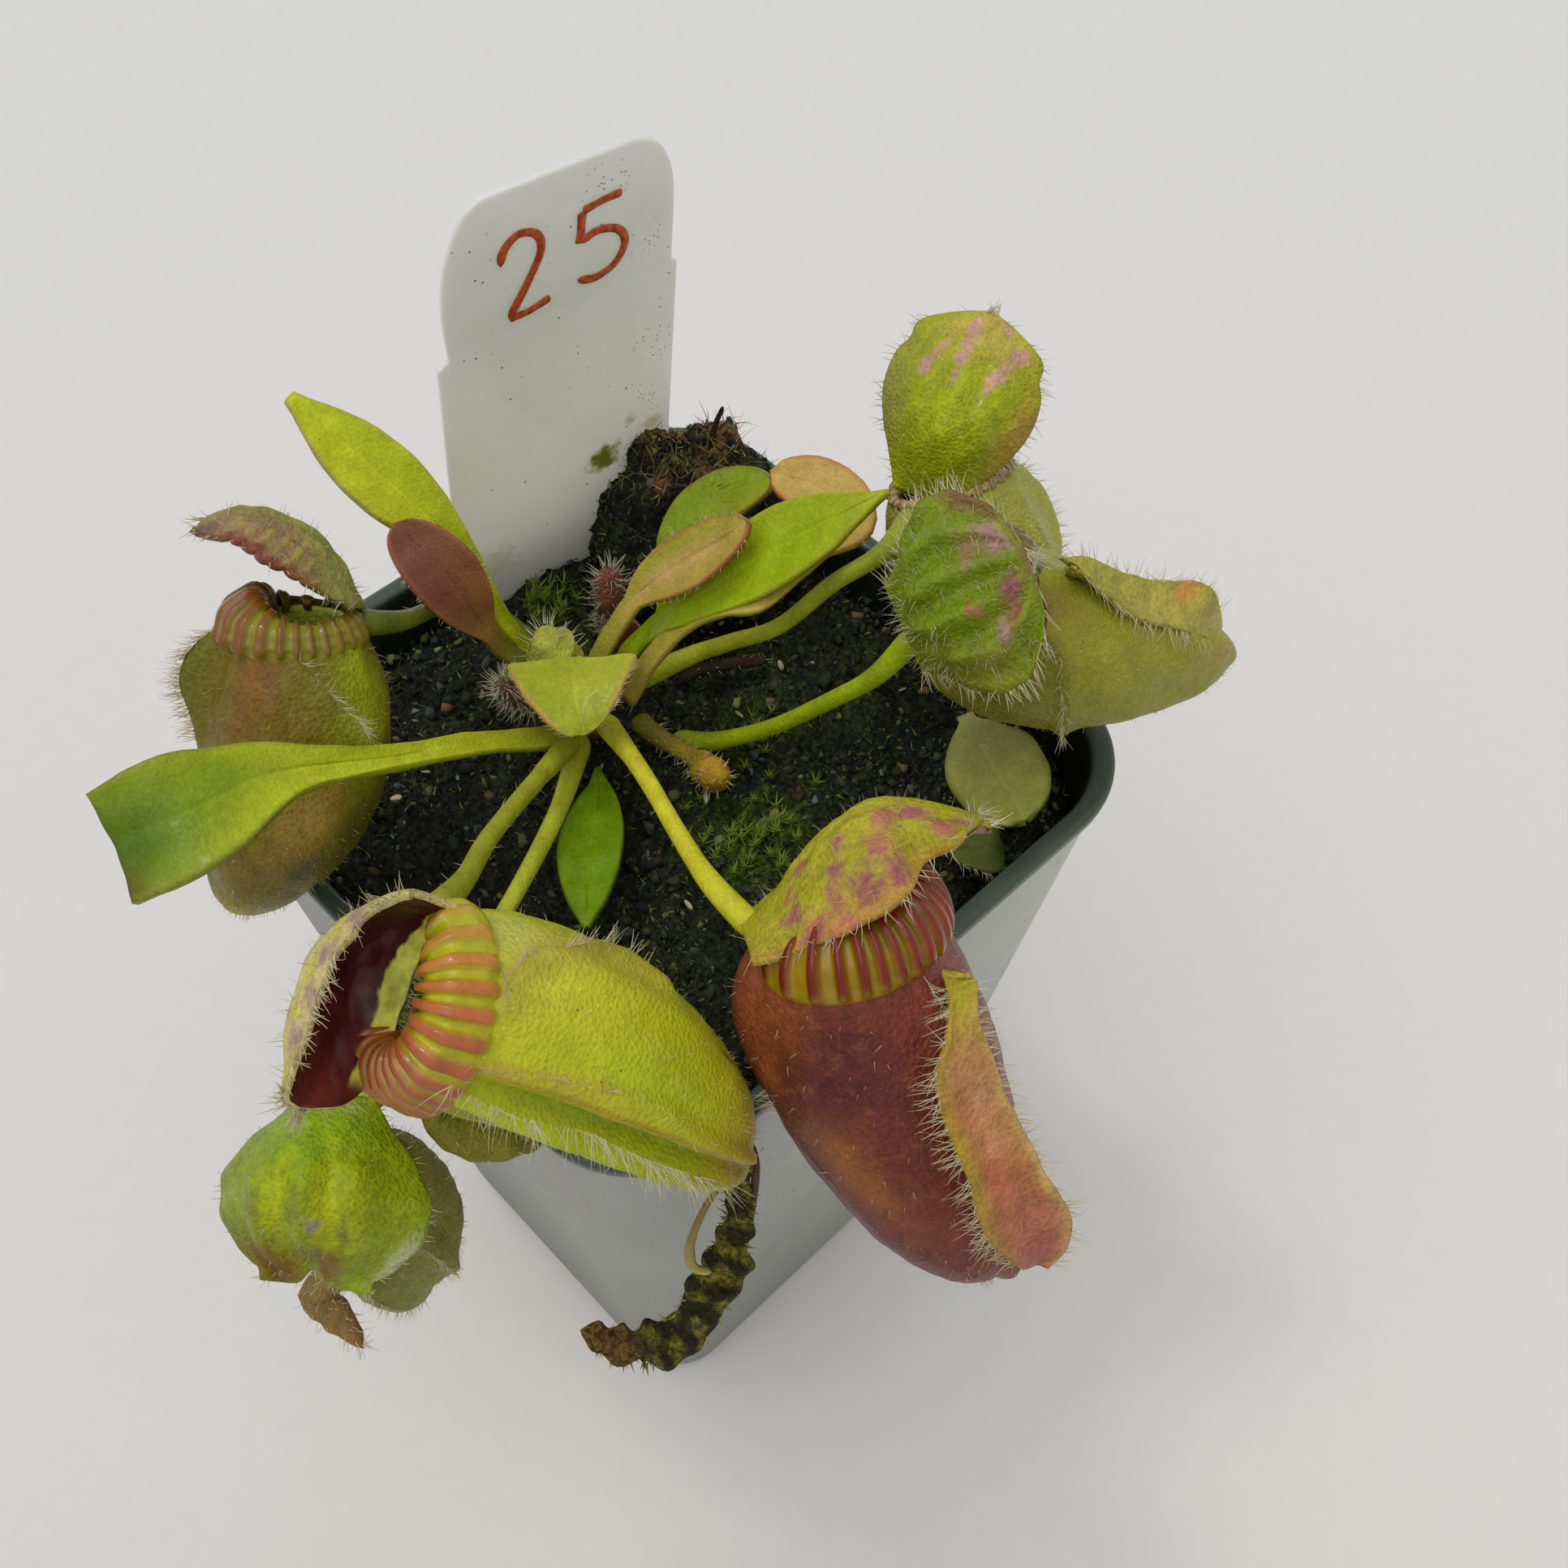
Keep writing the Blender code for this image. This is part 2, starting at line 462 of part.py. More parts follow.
def build_lid(name, spec, collection):
    """A domed leaf hinged at the back of the mouth, wide in the middle and narrow at its neck."""
    bm = bmesh.new()
    bmesh.ops.create_grid(bm, x_segments=8, y_segments=9, size=1.0)
    for v in bm.verts:
        v.co = lid_point(spec, v.co.x, (v.co.y + 1) / 2)
    back, rise, side = spec["foot"]
    foot = turned(spec["turn"]) @ Matrix.Translation(
        (side, -spec["cup"][1] / 2 * spec["mouth"] - back, rise))
    place = Matrix.Translation(spec["at"]) @ Matrix.Translation(foot.translation)
    bmesh.ops.transform(bm, matrix=place @ turned(spec["lid_turn"]), verts=bm.verts)
    lid = add_mesh(name + "_lid", bm, collection, material(name + "_lid_skin",
                                                           spec["lid_colour"], 0.45))
    thicken(lid, LID_WALL, -1.0)
    return lid


def build_stalk(name, route, collection, finish):
    """A petiole that ends just behind its pitcher's rim."""
    spec = PITCHERS[name[:-len("_stalk")]]
    behind = -spec["cup"][1] / 2 * spec["mouth"] - spec["join"]
    end = Matrix.Translation(spec["at"]) @ turned(spec["turn"]) @ Vector((
        spec["foot"][2], behind, -1.4))
    points = even_route(route + [tuple(end)], 10)
    return tube(name, points, [STALK_RADIUS] * len(points), collection, finish)


# ================================================================ leaves and shoots
def build_leaf(name, spec, collection):
    """A flat petiole that widens into a blade, slightly hollow across."""
    line = even_route(spec["route"], LEAF_ALONG)
    heading = np.gradient(line, axis=0)
    heading /= np.linalg.norm(heading, axis=1)[:, None]
    side = np.cross(heading, np.array(spec["up"], dtype=float))
    side /= np.linalg.norm(side, axis=1)[:, None]
    face = np.cross(side, heading)
    bm = bmesh.new()
    bmesh.ops.create_grid(bm, x_segments=LEAF_ACROSS, y_segments=LEAF_ALONG - 1, size=1.0)
    for v in bm.verts:
        across = v.co.x
        k = round((v.co.y + 1) / 2 * (LEAF_ALONG - 1))
        along = k / (LEAF_ALONG - 1)
        blade = max(0.0, (along - spec["petiole"]) / (1 - spec["petiole"]))
        if blade < spec["widest"]:
            share = math.sin(math.pi / 2 * blade / spec["widest"]) ** 1.1
        else:
            past = (blade - spec["widest"]) / (1 - spec["widest"])
            share = math.sqrt(max(0.0, 1 - past ** spec["tip"]))
        half = PETIOLE_HALF * math.sqrt(1 - blade) + spec["width"] / 2 * share
        half = max(half, 0.3)
        place = (line[k] + side[k] * across * half
                 + face[k] * LEAF_CUPPING * across ** 2 * half)
        v.co = place.tolist()
    leaf = add_mesh(name, bm, collection, material(name + "_skin", spec["colour"], 0.45))
    thicken(leaf, LEAF_THICK, 0.0)
    return leaf


def build_shoot(name, spots, collection):
    points = even_route(spots, 3 * len(spots) - 2)
    finish = material(name + "_skin", SHOOT_COLOURS[name], 0.7)
    return tube(name, points[:, :3].tolist(), points[:, 3].tolist(), collection, finish)


def build_crown(collection):
    bm = bmesh.new()
    place = Matrix.Translation(CROWN_CENTRE) @ Matrix.Diagonal((*CROWN_RADII, 1.0))
    bmesh.ops.create_uvsphere(bm, u_segments=12, v_segments=8, radius=1.0, matrix=place)
    return add_mesh("crown", bm, collection, material("crown_skin", (0.22, 0.26, 0.08), 0.7))


def main():
    for old in list(bpy.data.objects):
        bpy.data.objects.remove(old, do_unlink=True)
    plant = new_collection("potted_albany_pitcher_plant")
    cutters = new_collection("cutters")
    build_pot(plant, cutters)
    build_soil(plant, cutters)
    build_mound(plant)
    build_tag(plant)
    build_crown(plant)
    for name, spec in PITCHERS.items():
        build_cup(name, spec, plant)
        build_lid(name, spec, plant)
    stalk_finish = material("stalk_skin", (0.34, 0.38, 0.05), 0.5)
    for name, route in STALKS.items():
        build_stalk(name, route, plant, stalk_finish)
    for name, spec in LEAVES.items():
        build_leaf(name, spec, plant)
    for name, spots in SHOOTS.items():
        build_shoot(name, spots, plant)


main()
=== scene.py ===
# %% [markdown]
# # Potted Albany pitcher plant
# The plant is a ground rosette of flat leaves and six slipper-shaped traps in a small square
# nursery pot, with a white label stuck in the peat behind it. Each step below makes one of the
# real object's parts, from the pot up to the finest hairs. Lengths are in millimetres until a
# mesh is finished. The pot's base is centred on the origin and +Z is up.

# %% Setting up
import math

import bmesh
import bpy
import numpy as np
from mathutils import Matrix, Vector
from numpy.random import default_rng


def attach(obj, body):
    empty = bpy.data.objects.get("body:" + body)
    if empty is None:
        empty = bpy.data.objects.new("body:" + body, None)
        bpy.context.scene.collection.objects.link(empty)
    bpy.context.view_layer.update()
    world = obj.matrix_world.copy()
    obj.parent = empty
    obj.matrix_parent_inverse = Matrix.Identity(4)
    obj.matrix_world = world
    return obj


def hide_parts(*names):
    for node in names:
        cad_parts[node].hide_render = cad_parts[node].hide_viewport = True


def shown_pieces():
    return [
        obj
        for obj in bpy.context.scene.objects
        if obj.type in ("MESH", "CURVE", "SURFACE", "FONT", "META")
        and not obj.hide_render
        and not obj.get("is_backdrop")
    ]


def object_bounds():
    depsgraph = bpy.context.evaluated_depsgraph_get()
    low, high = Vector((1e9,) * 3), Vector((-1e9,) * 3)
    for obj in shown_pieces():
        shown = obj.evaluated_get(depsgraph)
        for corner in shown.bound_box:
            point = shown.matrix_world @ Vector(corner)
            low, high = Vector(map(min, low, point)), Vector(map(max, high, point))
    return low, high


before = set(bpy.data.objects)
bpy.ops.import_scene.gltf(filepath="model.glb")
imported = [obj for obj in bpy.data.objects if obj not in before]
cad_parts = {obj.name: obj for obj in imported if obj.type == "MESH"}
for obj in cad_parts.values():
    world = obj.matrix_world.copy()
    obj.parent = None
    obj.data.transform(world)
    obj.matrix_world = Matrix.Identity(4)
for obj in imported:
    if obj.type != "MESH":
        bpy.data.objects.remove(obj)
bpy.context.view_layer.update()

MM = 0.001


def linked(name, data):
    """A new object in the scene."""
    made = bpy.data.objects.new(name, data)
    bpy.context.scene.collection.objects.link(made)
    return made


# %% [markdown]
# ## Camera
# The plant is looked at from above and from its front corner. The camera's place and turn are
# given by a heading, a slope and a slight tilt, so that the same view can be found again.

# %% Camera
def camera_pose(place, heading, slope, tilt):
    """A camera matrix from its place in mm and three angles in degrees."""
    heading, slope, tilt = (math.radians(a) for a in (heading, slope, tilt))
    back = Vector((math.cos(slope) * math.sin(heading),
                   -math.cos(slope) * math.cos(heading), math.sin(slope)))
    level = Vector((math.cos(heading), math.sin(heading), 0.0))
    rise = back.cross(level)
    right = math.cos(tilt) * level + math.sin(tilt) * rise
    up = math.cos(tilt) * rise - math.sin(tilt) * level
    return Matrix.Translation(MM * Vector(place)) @ Matrix((right, up, back)).transposed().to_4x4()


lens = bpy.data.cameras.new("camera")
lens.lens, lens.sensor_width = 38.71, 36.0
lens.clip_start, lens.clip_end = 0.01, 20.0
camera = linked("camera", lens)
camera.matrix_world = camera_pose((-52.12, -64.77, 193.95), -45.84, 54.46, 2.10)
bpy.context.scene.camera = camera
bpy.context.scene.view_settings.view_transform = "Standard"
TOWARDS_VIEW = np.array(camera.matrix_world.to_3x3().col[2])
print("camera looks along", [round(-v, 2) for v in TOWARDS_VIEW])

# %% [markdown]
# ## Finishes as arithmetic
# A finish is easier to read when it is written like a sum. `Value` wraps one socket, so that
# `+`, `*` and the like add the matching node, and `Finish` holds one material and the few nodes
# that this plant needs. Tones are written as they look, from 0 to 255.

# %% Finishes as arithmetic
def tone(red, green, blue):
    """A colour as it looks (0 to 255) turned into light."""
    seen = np.array([red, green, blue]) / 255.0
    return np.where(seen <= 0.04045, seen / 12.92, ((seen + 0.055) / 1.055) ** 2.4)


class Value:
    """One socket of a finish's node tree."""

    def __init__(self, finish, socket):
        self.finish, self.socket = finish, socket

    def __add__(self, other):
        return self.finish.sum("ADD", self, other)

    def __sub__(self, other):
        return self.finish.sum("SUBTRACT", self, other)

    def __rsub__(self, other):
        return self.finish.sum("SUBTRACT", other, self)

    def __mul__(self, other):
        return self.finish.sum("MULTIPLY", self, other)

    __radd__, __rmul__ = __add__, __mul__

    def step(self, low, high):
        """0 below low, 1 above high and smooth between them."""
        return self.finish.node("MapRange", {0: self, 1: low, 2: high},
                                {"interpolation_type": "SMOOTHSTEP", "clamp": True})


class Finish:
    """A material and the nodes that its look is made of."""

    def __init__(self, name, roughness=0.5, coat=0.0, shine=0.5):
        self.material = bpy.data.materials.new(name)
        self.material.use_nodes = True
        self.tree = self.material.node_tree
        self.shader = self.tree.nodes["Principled BSDF"]
        self.give("Roughness", roughness)
        self.give("Coat Weight", coat)
        self.give("Specular IOR Level", shine)

    def put(self, socket, value):
        """Links a value to a socket, or writes a plain number or colour on it."""
        if isinstance(value, Value):
            self.tree.links.new(value.socket, socket)
        elif socket.type == "RGBA":
            socket.default_value = (*value, 1.0)
        else:
            socket.default_value = value

    def node(self, kind, inputs, settings=(), out=0):
        """Adds any node: its type, the values or links of its sockets, and its settings."""
        made = self.tree.nodes.new("ShaderNode" + kind)
        for key, value in dict(settings).items():
            setattr(made, key, value)
        for key, value in inputs.items():
            self.put(made.inputs[key], value)
        return Value(self, made.outputs[out])

    def sum(self, operation, first, second):
        return self.node("Math", {0: first, 1: second}, {"operation": operation})

    def mix(self, low, high, share):
        """One colour laid over another by a share."""
        return self.node("Mix", {0: share, 6: low, 7: high}, {"data_type": "RGBA"}, 2)

    def scaled(self, colour, share):
        """A colour made lighter or darker by a value."""
        grey = self.node("CombineXYZ", {0: share, 1: share, 2: share})
        return self.node("Mix", {0: 1.0, 6: colour, 7: grey},
                         {"data_type": "RGBA", "blend_type": "MULTIPLY"}, 2)

    def place(self, stretch=(1, 1, 1)):
        """Where a point is on the piece, in mm."""
        spot = self.node("TexCoord", {}, out=3)
        return self.node("VectorMath", {0: spot, 1: [1000.0 * s for s in stretch]},
                         {"operation": "MULTIPLY"})

    def noise(self, size, where=None, detail=4.0, rough=0.55):
        """Cloudy values from 0 to 1 with patches of a size in mm."""
        where = self.place() if where is None else where
        return self.node("TexNoise", {"Vector": where, "Scale": 1.0 / size, "Detail": detail,
                                      "Roughness": rough})

    def cells(self, size, where=None):
        """Distance to the middle of the nearest cell."""
        where = self.place() if where is None else where
        return self.node("TexVoronoi", {"Vector": where, "Scale": 1.0 / size})

    def away(self, spot, where=None):
        """Distance from a spot, in mm unless `where` has another unit."""
        where = self.place() if where is None else where
        return self.node("VectorMath", {0: where, 1: tuple(spot)}, {"operation": "DISTANCE"}, 1)

    def tint(self, name="tint"):
        """The tone painted on the mesh itself."""
        return self.node("Attribute", {}, {"attribute_name": name})

    def specks(self, size, low, high, chosen):
        """Small round specks in cells of a size, kept only where `chosen` says."""
        return (1.0 - self.cells(size).step(low, high)) * chosen

    def bump(self, height, depth):
        """Small relief: height from 0 to 1, depth in mm."""
        made = self.node("Bump", {"Height": height, "Distance": depth * MM, "Strength": 1.0})
        self.give("Normal", made)

    def give(self, name, value):
        """Sets or links one of the shader's own sockets."""
        self.put(self.shader.inputs[name], value)
        return self


print("a mid grey is", tone(128, 128, 128).round(3))

# %% [markdown]
# ## Floor
# The pot stands on a plain pale sheet that fills the view. It is one flat grid, a hair below the
# pot's base, and a painted shade makes it a little darker towards the near corner.

# %% Floor
FLOOR_MIDDLE, FLOOR_FAR, FLOOR_NEAR_SHADE = (214, 211, 207), (212, 211, 210), (196, 192, 189)
NEARER = (-0.717, -0.697, 0.0)


def floor_finish():
    finish = Finish("floor_paper", 0.9)
    spot = finish.node("TexCoord", {}, out=3)
    away = finish.away((-0.02, -0.06, 0.0), spot)
    light = finish.mix(tone(*FLOOR_MIDDLE), tone(*FLOOR_FAR), away.step(0.02, 0.30))
    nearer = finish.node("VectorMath", {0: spot, 1: NEARER}, {"operation": "DOT_PRODUCT"}, 1)
    # painted shade: the floor is darker towards the near corner
    light = finish.mix(light, tone(*FLOOR_NEAR_SHADE), nearer.step(0.03, 0.11))
    grain = finish.noise(2.5, detail=6.0) * 0.05 + 0.975
    return finish.give("Base Color", finish.scaled(light, grain))


def build_floor():
    bm = bmesh.new()
    bmesh.ops.create_grid(bm, x_segments=1, y_segments=1, size=3.0)
    mesh = bpy.data.meshes.new("floor")
    bm.to_mesh(mesh)
    bm.free()
    floor = linked("floor", mesh)
    floor.location.z = -0.0002
    mesh.materials.append(floor_finish().material)
    floor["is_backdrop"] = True
    return floor


print("floor:", [round(v, 1) for v in build_floor().dimensions], "m")

# %% [markdown]
# ## Light
# A broad soft sun from above, a small one for the glints and an even sky light the plant like a
# cloudy day, at a level where a tone renders about as it is written.

# %% Light
SKY = 0.62
SUNS = (("soft_sun", 0.32, 60, (-0.40, -0.05, 1.0)), ("glint_sun", 0.14, 9, (-0.1, 0.35, 1.0)))


def build_light():
    world = bpy.data.worlds.new("sky")
    bpy.context.scene.world = world
    world.use_nodes = True
    sky = world.node_tree.nodes["Background"]
    sky.inputs["Color"].default_value = (0.97, 0.99, 1.0, 1.0)
    sky.inputs["Strength"].default_value = SKY
    for name, level, spread, place in SUNS:
        sun = bpy.data.lights.new(name, "SUN")
        sun.energy, sun.angle = level * math.pi, math.radians(spread)
        sun.color = (1.0, 0.985, 0.96)
        lamp = linked(name, sun)
        lamp.rotation_euler = Vector(place).to_track_quat("Z", "Y").to_euler()


build_light()
print("sky", SKY, "and", len(SUNS), "suns")

# %% [markdown]
# ## Routes and soft values
# Stalks, creases and ribbons follow smooth routes through a few points. Swellings and stains
# need values that rise and fall softly, some regular and some not.

# %% Routes and soft values
def even_route(points, count):
    """Points evenly spaced on a smooth curve through the given ones."""
    known = np.array(points, dtype=float)
    known = np.vstack([2 * known[0] - known[1], known, 2 * known[-1] - known[-2]])
    fine = []
    for a, b, c, d in zip(known, known[1:], known[2:], known[3:]):
        for t in np.arange(12) / 12:
            fine.append(0.5 * (2 * b + (c - a) * t + (2 * a - 5 * b + 4 * c - d) * t ** 2
                               + (3 * b - a - 3 * c + d) * t ** 3))
    fine = np.array(fine + [known[-2]])
    steps = np.linalg.norm(np.diff(fine[:, :3], axis=0), axis=1)
    reached = np.concatenate([[0.0], np.cumsum(steps)])
    wanted = np.linspace(0.0, reached[-1], count)
    return np.stack([np.interp(wanted, reached, fine[:, k]) for k in range(fine.shape[1])], 1)


def on_route(line, along):
    """Places on an even route, along from 0 to 1."""
    steps = np.linspace(0.0, 1.0, len(line))
    return np.stack([np.interp(along, steps, line[:, k]) for k in range(line.shape[1])], 1)


def unit(ways):
    """Directions of length 1."""
    return ways / np.maximum(np.linalg.norm(ways, axis=-1, keepdims=True), 1e-9)


def ripple(points, size, seed=0, waves=7):
    """Smooth irregular values from about -1 to 1, with bumps of a size in mm."""
    dice = default_rng(seed)
    total = np.zeros(len(points))
    for _ in range(waves):
        way = unit(dice.normal(size=3)) * (2 * math.pi / size) * dice.uniform(0.6, 1.5)
        total += np.sin(points @ way + dice.uniform(0, 2 * math.pi))
    return total / waves ** 0.5 * 0.8


def blend(low, high, share):
    """From low to high by a share that is kept between 0 and 1."""
    return low + (high - low) * np.clip(share, 0.0, 1.0)


def smooth(value, low, high):
    """0 below low, 1 above high and a soft rise between them."""
    share = np.clip((value - low) / (high - low), 0.0, 1.0)
    return share * share * (3 - 2 * share)


def over(tints, shade, share):
    """Tones with another tone laid over them by a share."""
    return tints * (1 - share) + tone(*shade) * share


def painted(base, u, v, patches, wrap=None, crisp=1.0):
    """A tone per point: a base tone and soft patches (u, v, reach u, reach v, tone, share)."""
    out = np.tile(tone(*base), (len(u), 1))
    for at_u, at_v, reach_u, reach_v, colour, share in patches:
        apart = u - at_u
        if wrap:
            apart = (apart + wrap / 2) % wrap - wrap / 2
        weight = share * np.exp(-((apart / reach_u) ** 2 + ((v - at_v) / reach_v) ** 2) ** crisp)
        out += weight[:, None] * (tone(*colour) - out)
    return out


print("a route of 3 points as 5:", even_route([(0, 0), (1, 1), (2, 0)], 5).round(2).tolist())

# %% [markdown]
# ## Skins and pieces
# Nearly every part is a skin laid over a rule: an operator's flat grid is moved point by point
# to where the rule says, and takes its tones from there too. A piece is such a skin, scaled to
# metres at the origin, with its finish; where it stands for a part of the model, that part is hidden.

# %% Skins and pieces
def skin(across, along, rule):
    """A grid with a chart, moved to where rule(u, v) says. The rule may give tints as well."""
    bm = bmesh.new()
    bm.loops.layers.uv.new("UVMap")
    bmesh.ops.create_grid(bm, x_segments=across, y_segments=along, size=1.0, calc_uvs=True)
    flat = np.array([v.co[:2] for v in bm.verts]) * 0.5 + 0.5
    made = rule(flat[:, 0], flat[:, 1])
    points, *colours = made if isinstance(made, tuple) else (made,)
    for name, tints in zip(("tint", "under"), colours):
        layer = bm.verts.layers.float_color.new(name)
        for v, colour in zip(bm.verts, np.clip(tints, 0, 1).tolist()):
            v[layer] = (*colour, 1.0)
    for v, spot in zip(bm.verts, points.tolist()):
        v.co = spot
    bmesh.ops.remove_doubles(bm, verts=bm.verts, dist=0.003)
    return bm


def in_metres(name, bm):
    """A mesh from a bmesh in mm."""
    bmesh.ops.scale(bm, vec=(MM, MM, MM), verts=bm.verts)
    mesh = bpy.data.meshes.new(name)
    bm.to_mesh(mesh)
    bm.free()
    return mesh


def piece(name, bm, finish, slot, node=None, sharp=None, outward=True):
    """Turns a bmesh in mm into a finished object that rides the plant's only body."""
    if outward:
        bmesh.ops.recalc_face_normals(bm, faces=bm.faces)
    mesh = in_metres(name, bm)
    mesh.shade_smooth()
    if sharp:
        mesh.set_sharp_from_angle(angle=math.radians(sharp))
    return settle(name, mesh, finish, slot, node)


def settle(name, mesh, finish, slot, node=None):
    """Makes the object with its finish, and hides the part of the model that it stands for."""
    made = linked(name, mesh)
    mesh.materials.append(finish.material)
    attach(made, "root")
    if node:
        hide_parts(node)
    return made


def thicken(made, wall, offset, inside=None):
    """Gives a sheet its thickness, with another finish on the far side if one is given."""
    shell = made.modifiers.new("wall", "SOLIDIFY")
    shell.thickness, shell.offset = wall * MM, offset
    shell.use_even_offset = False
    if inside:
        made.data.materials.append(inside.material)
        shell.material_offset = 1
    return made


print("finished pieces are scaled by", MM)

# %% [markdown]
# ## Copies
# Small things such as hairs, crumbs and moss leaves are one low model copied thousands of times
# into a single mesh, each with its own place, direction, size and tone.

# %% Copies
def template(kind):
    """One low model of unit height, standing on the origin."""
    bm = bmesh.new()
    if kind == "hair":
        bmesh.ops.create_cone(bm, segments=3, radius1=1.0, radius2=0.2, depth=1.0)
        tall = [e for e in bm.edges if abs(e.verts[0].co.z - e.verts[1].co.z) > 0.5]
        bmesh.ops.subdivide_edges(bm, edges=tall, cuts=2)
        bmesh.ops.translate(bm, verts=bm.verts, vec=(0, 0, 0.5))
    elif kind == "crumb":
        bmesh.ops.create_icosphere(bm, subdivisions=1, radius=1.0)
    elif kind == "flake":
        bmesh.ops.create_uvsphere(bm, u_segments=8, v_segments=5, radius=1.0)
        bmesh.ops.scale(bm, verts=bm.verts, vec=(0.5, 0.22, 1.0))
    elif kind == "leaflet":
        bmesh.ops.create_cone(bm, segments=4, radius1=1.0, radius2=0.0, depth=1.0)
        bmesh.ops.scale(bm, verts=bm.verts, vec=(1.0, 0.3, 1.0))
        bmesh.ops.translate(bm, verts=bm.verts, vec=(0, 0, 0.5))
    bm.verts.index_update()
    spots = np.array([v.co[:] for v in bm.verts])
    faces = [[v.index for v in f.verts] for f in bm.faces]
    bm.free()
    return spots, faces


TEMPLATES = {kind: template(kind) for kind in ("hair", "crumb", "flake", "leaflet")}


def copies(name, kind, roots, ways, lengths, widths, tints, finish, slot, bend=0.0, lumpy=0.0):
    """Many copies of one low model: where each stands, its direction, length and width in mm."""
    spots, faces = TEMPLATES[kind]
    count = len(roots)
    dice = default_rng(count)
    ways = unit(np.asarray(ways, dtype=float))
    side = unit(np.cross(ways, dice.normal(size=(count, 3))))
    other = np.cross(ways, side)
    lengths, widths = (np.broadcast_to(v, count)[:, None, None] for v in (lengths, widths))
    x, y, z = (spots[None, :, k, None] for k in range(3))
    if lumpy:
        swell = 1 + lumpy * dice.uniform(-1, 1, (count, len(spots), 1))
        x, y, z = x * swell, y * swell, z * swell
    points = (np.asarray(roots)[:, None] + z * lengths * ways[:, None]
              + (bend * lengths * z ** 2) * side[:, None]
              + widths * (x * side[:, None] + y * other[:, None]))
    mesh = bpy.data.meshes.new(name)
    shifts = range(0, count * len(spots), len(spots))
    listed = [[k + shift for k in f] for shift in shifts for f in faces]
    mesh.from_pydata((points.reshape(-1, 3) * MM).tolist(), [], listed)
    layer = mesh.color_attributes.new("tint", "FLOAT_COLOR", "POINT")
    flat = np.ones((count, len(spots), 4))
    flat[:, :, :3] = np.broadcast_to(np.asarray(tints), (count, 3))[:, None]
    layer.data.foreach_set("color", flat.ravel())
    mesh.shade_smooth()
    return settle(name, mesh, finish, slot)


def hair_finish(name, roughness=0.45):
    """A dry, faintly uneven finish for copies, in the tone that each copy brings."""
    finish = Finish(name, roughness, 0.0, 0.2)
    wisp = finish.noise(0.8) * 0.35 + 0.82
    finish.give("Base Color", finish.scaled(finish.tint(), wisp))
    return finish


HAIR = hair_finish("pale_hair")
print({kind: len(TEMPLATES[kind][1]) for kind in TEMPLATES}, "faces in the low models")

# %% [markdown]
# ## Pot shape
# The pot is moulded plastic that narrows to its base and has a small lip. One skin runs from
# the middle of the underside up the wall, over the lip and down the inside, so it has its real
# thickness. The tones mark the wall's silvery grey, a painted reflection on the dark green plastic
# that is painted lighter higher up and on one face, the dark inside, which is painted shade, and
# darker green streaks low on the two corners at the pot's outline.

# %% Pot shape
POT_HEIGHT, WALL = 84.0, 1.2
PATH_SHARES = (0.0, 0.10, 0.115, 0.13, 0.55, 0.57, 0.585, 0.62, 0.635, 0.65, 0.67, 0.69, 0.80,
               0.90, 1.0)
PATH_HEIGHTS = (0.0, 0.0, 0.15, 0.9, 81.6, 82.1, 82.3, 83.4, 83.85, 84.0, 84.0, 83.7, 77.0, WALL,
                WALL)
PATH_INSETS = (19.8, 1.6, 0.45, 0.0, 0.0, -0.1, -0.45, -0.5, -0.35, 0.0, 0.9, WALL, WALL, WALL,
               18.6)


def square_ring(u, half, corner):
    """A rounded square of half-width `half`, u from 0 to 1 around it."""
    turn = np.floor(u * 4)
    share = u * 4 - turn
    bend = np.minimum(share / 0.45, 1.0)
    run = np.clip((share - 0.45) / 0.55, 0.0, 1.0)[:, None]
    angle = (turn + bend) * math.pi / 2
    middles = [np.stack([np.sign(np.cos(q)), np.sign(np.sin(q))], 1) * (half - corner)[:, None]
               for q in (np.pi / 4 + turn * np.pi / 2, np.pi / 4 + (turn + 1) * np.pi / 2)]
    middle = middles[0] * (1 - run) + middles[1] * run
    return middle + corner[:, None] * np.stack([np.cos(angle), np.sin(angle)], 1)


def pot_ring(u, z, inset):
    """The pot's outline at a height, moved in from its outer wall."""
    half = 19.8 + 8.9 * z / POT_HEIGHT - inset
    corner = np.maximum(6.0 + 3.5 * z / POT_HEIGHT - 0.5 * inset, 0.6)
    return square_ring(u % 1.0, np.maximum(half, 0.6), np.minimum(corner, np.maximum(half, 0.6)))


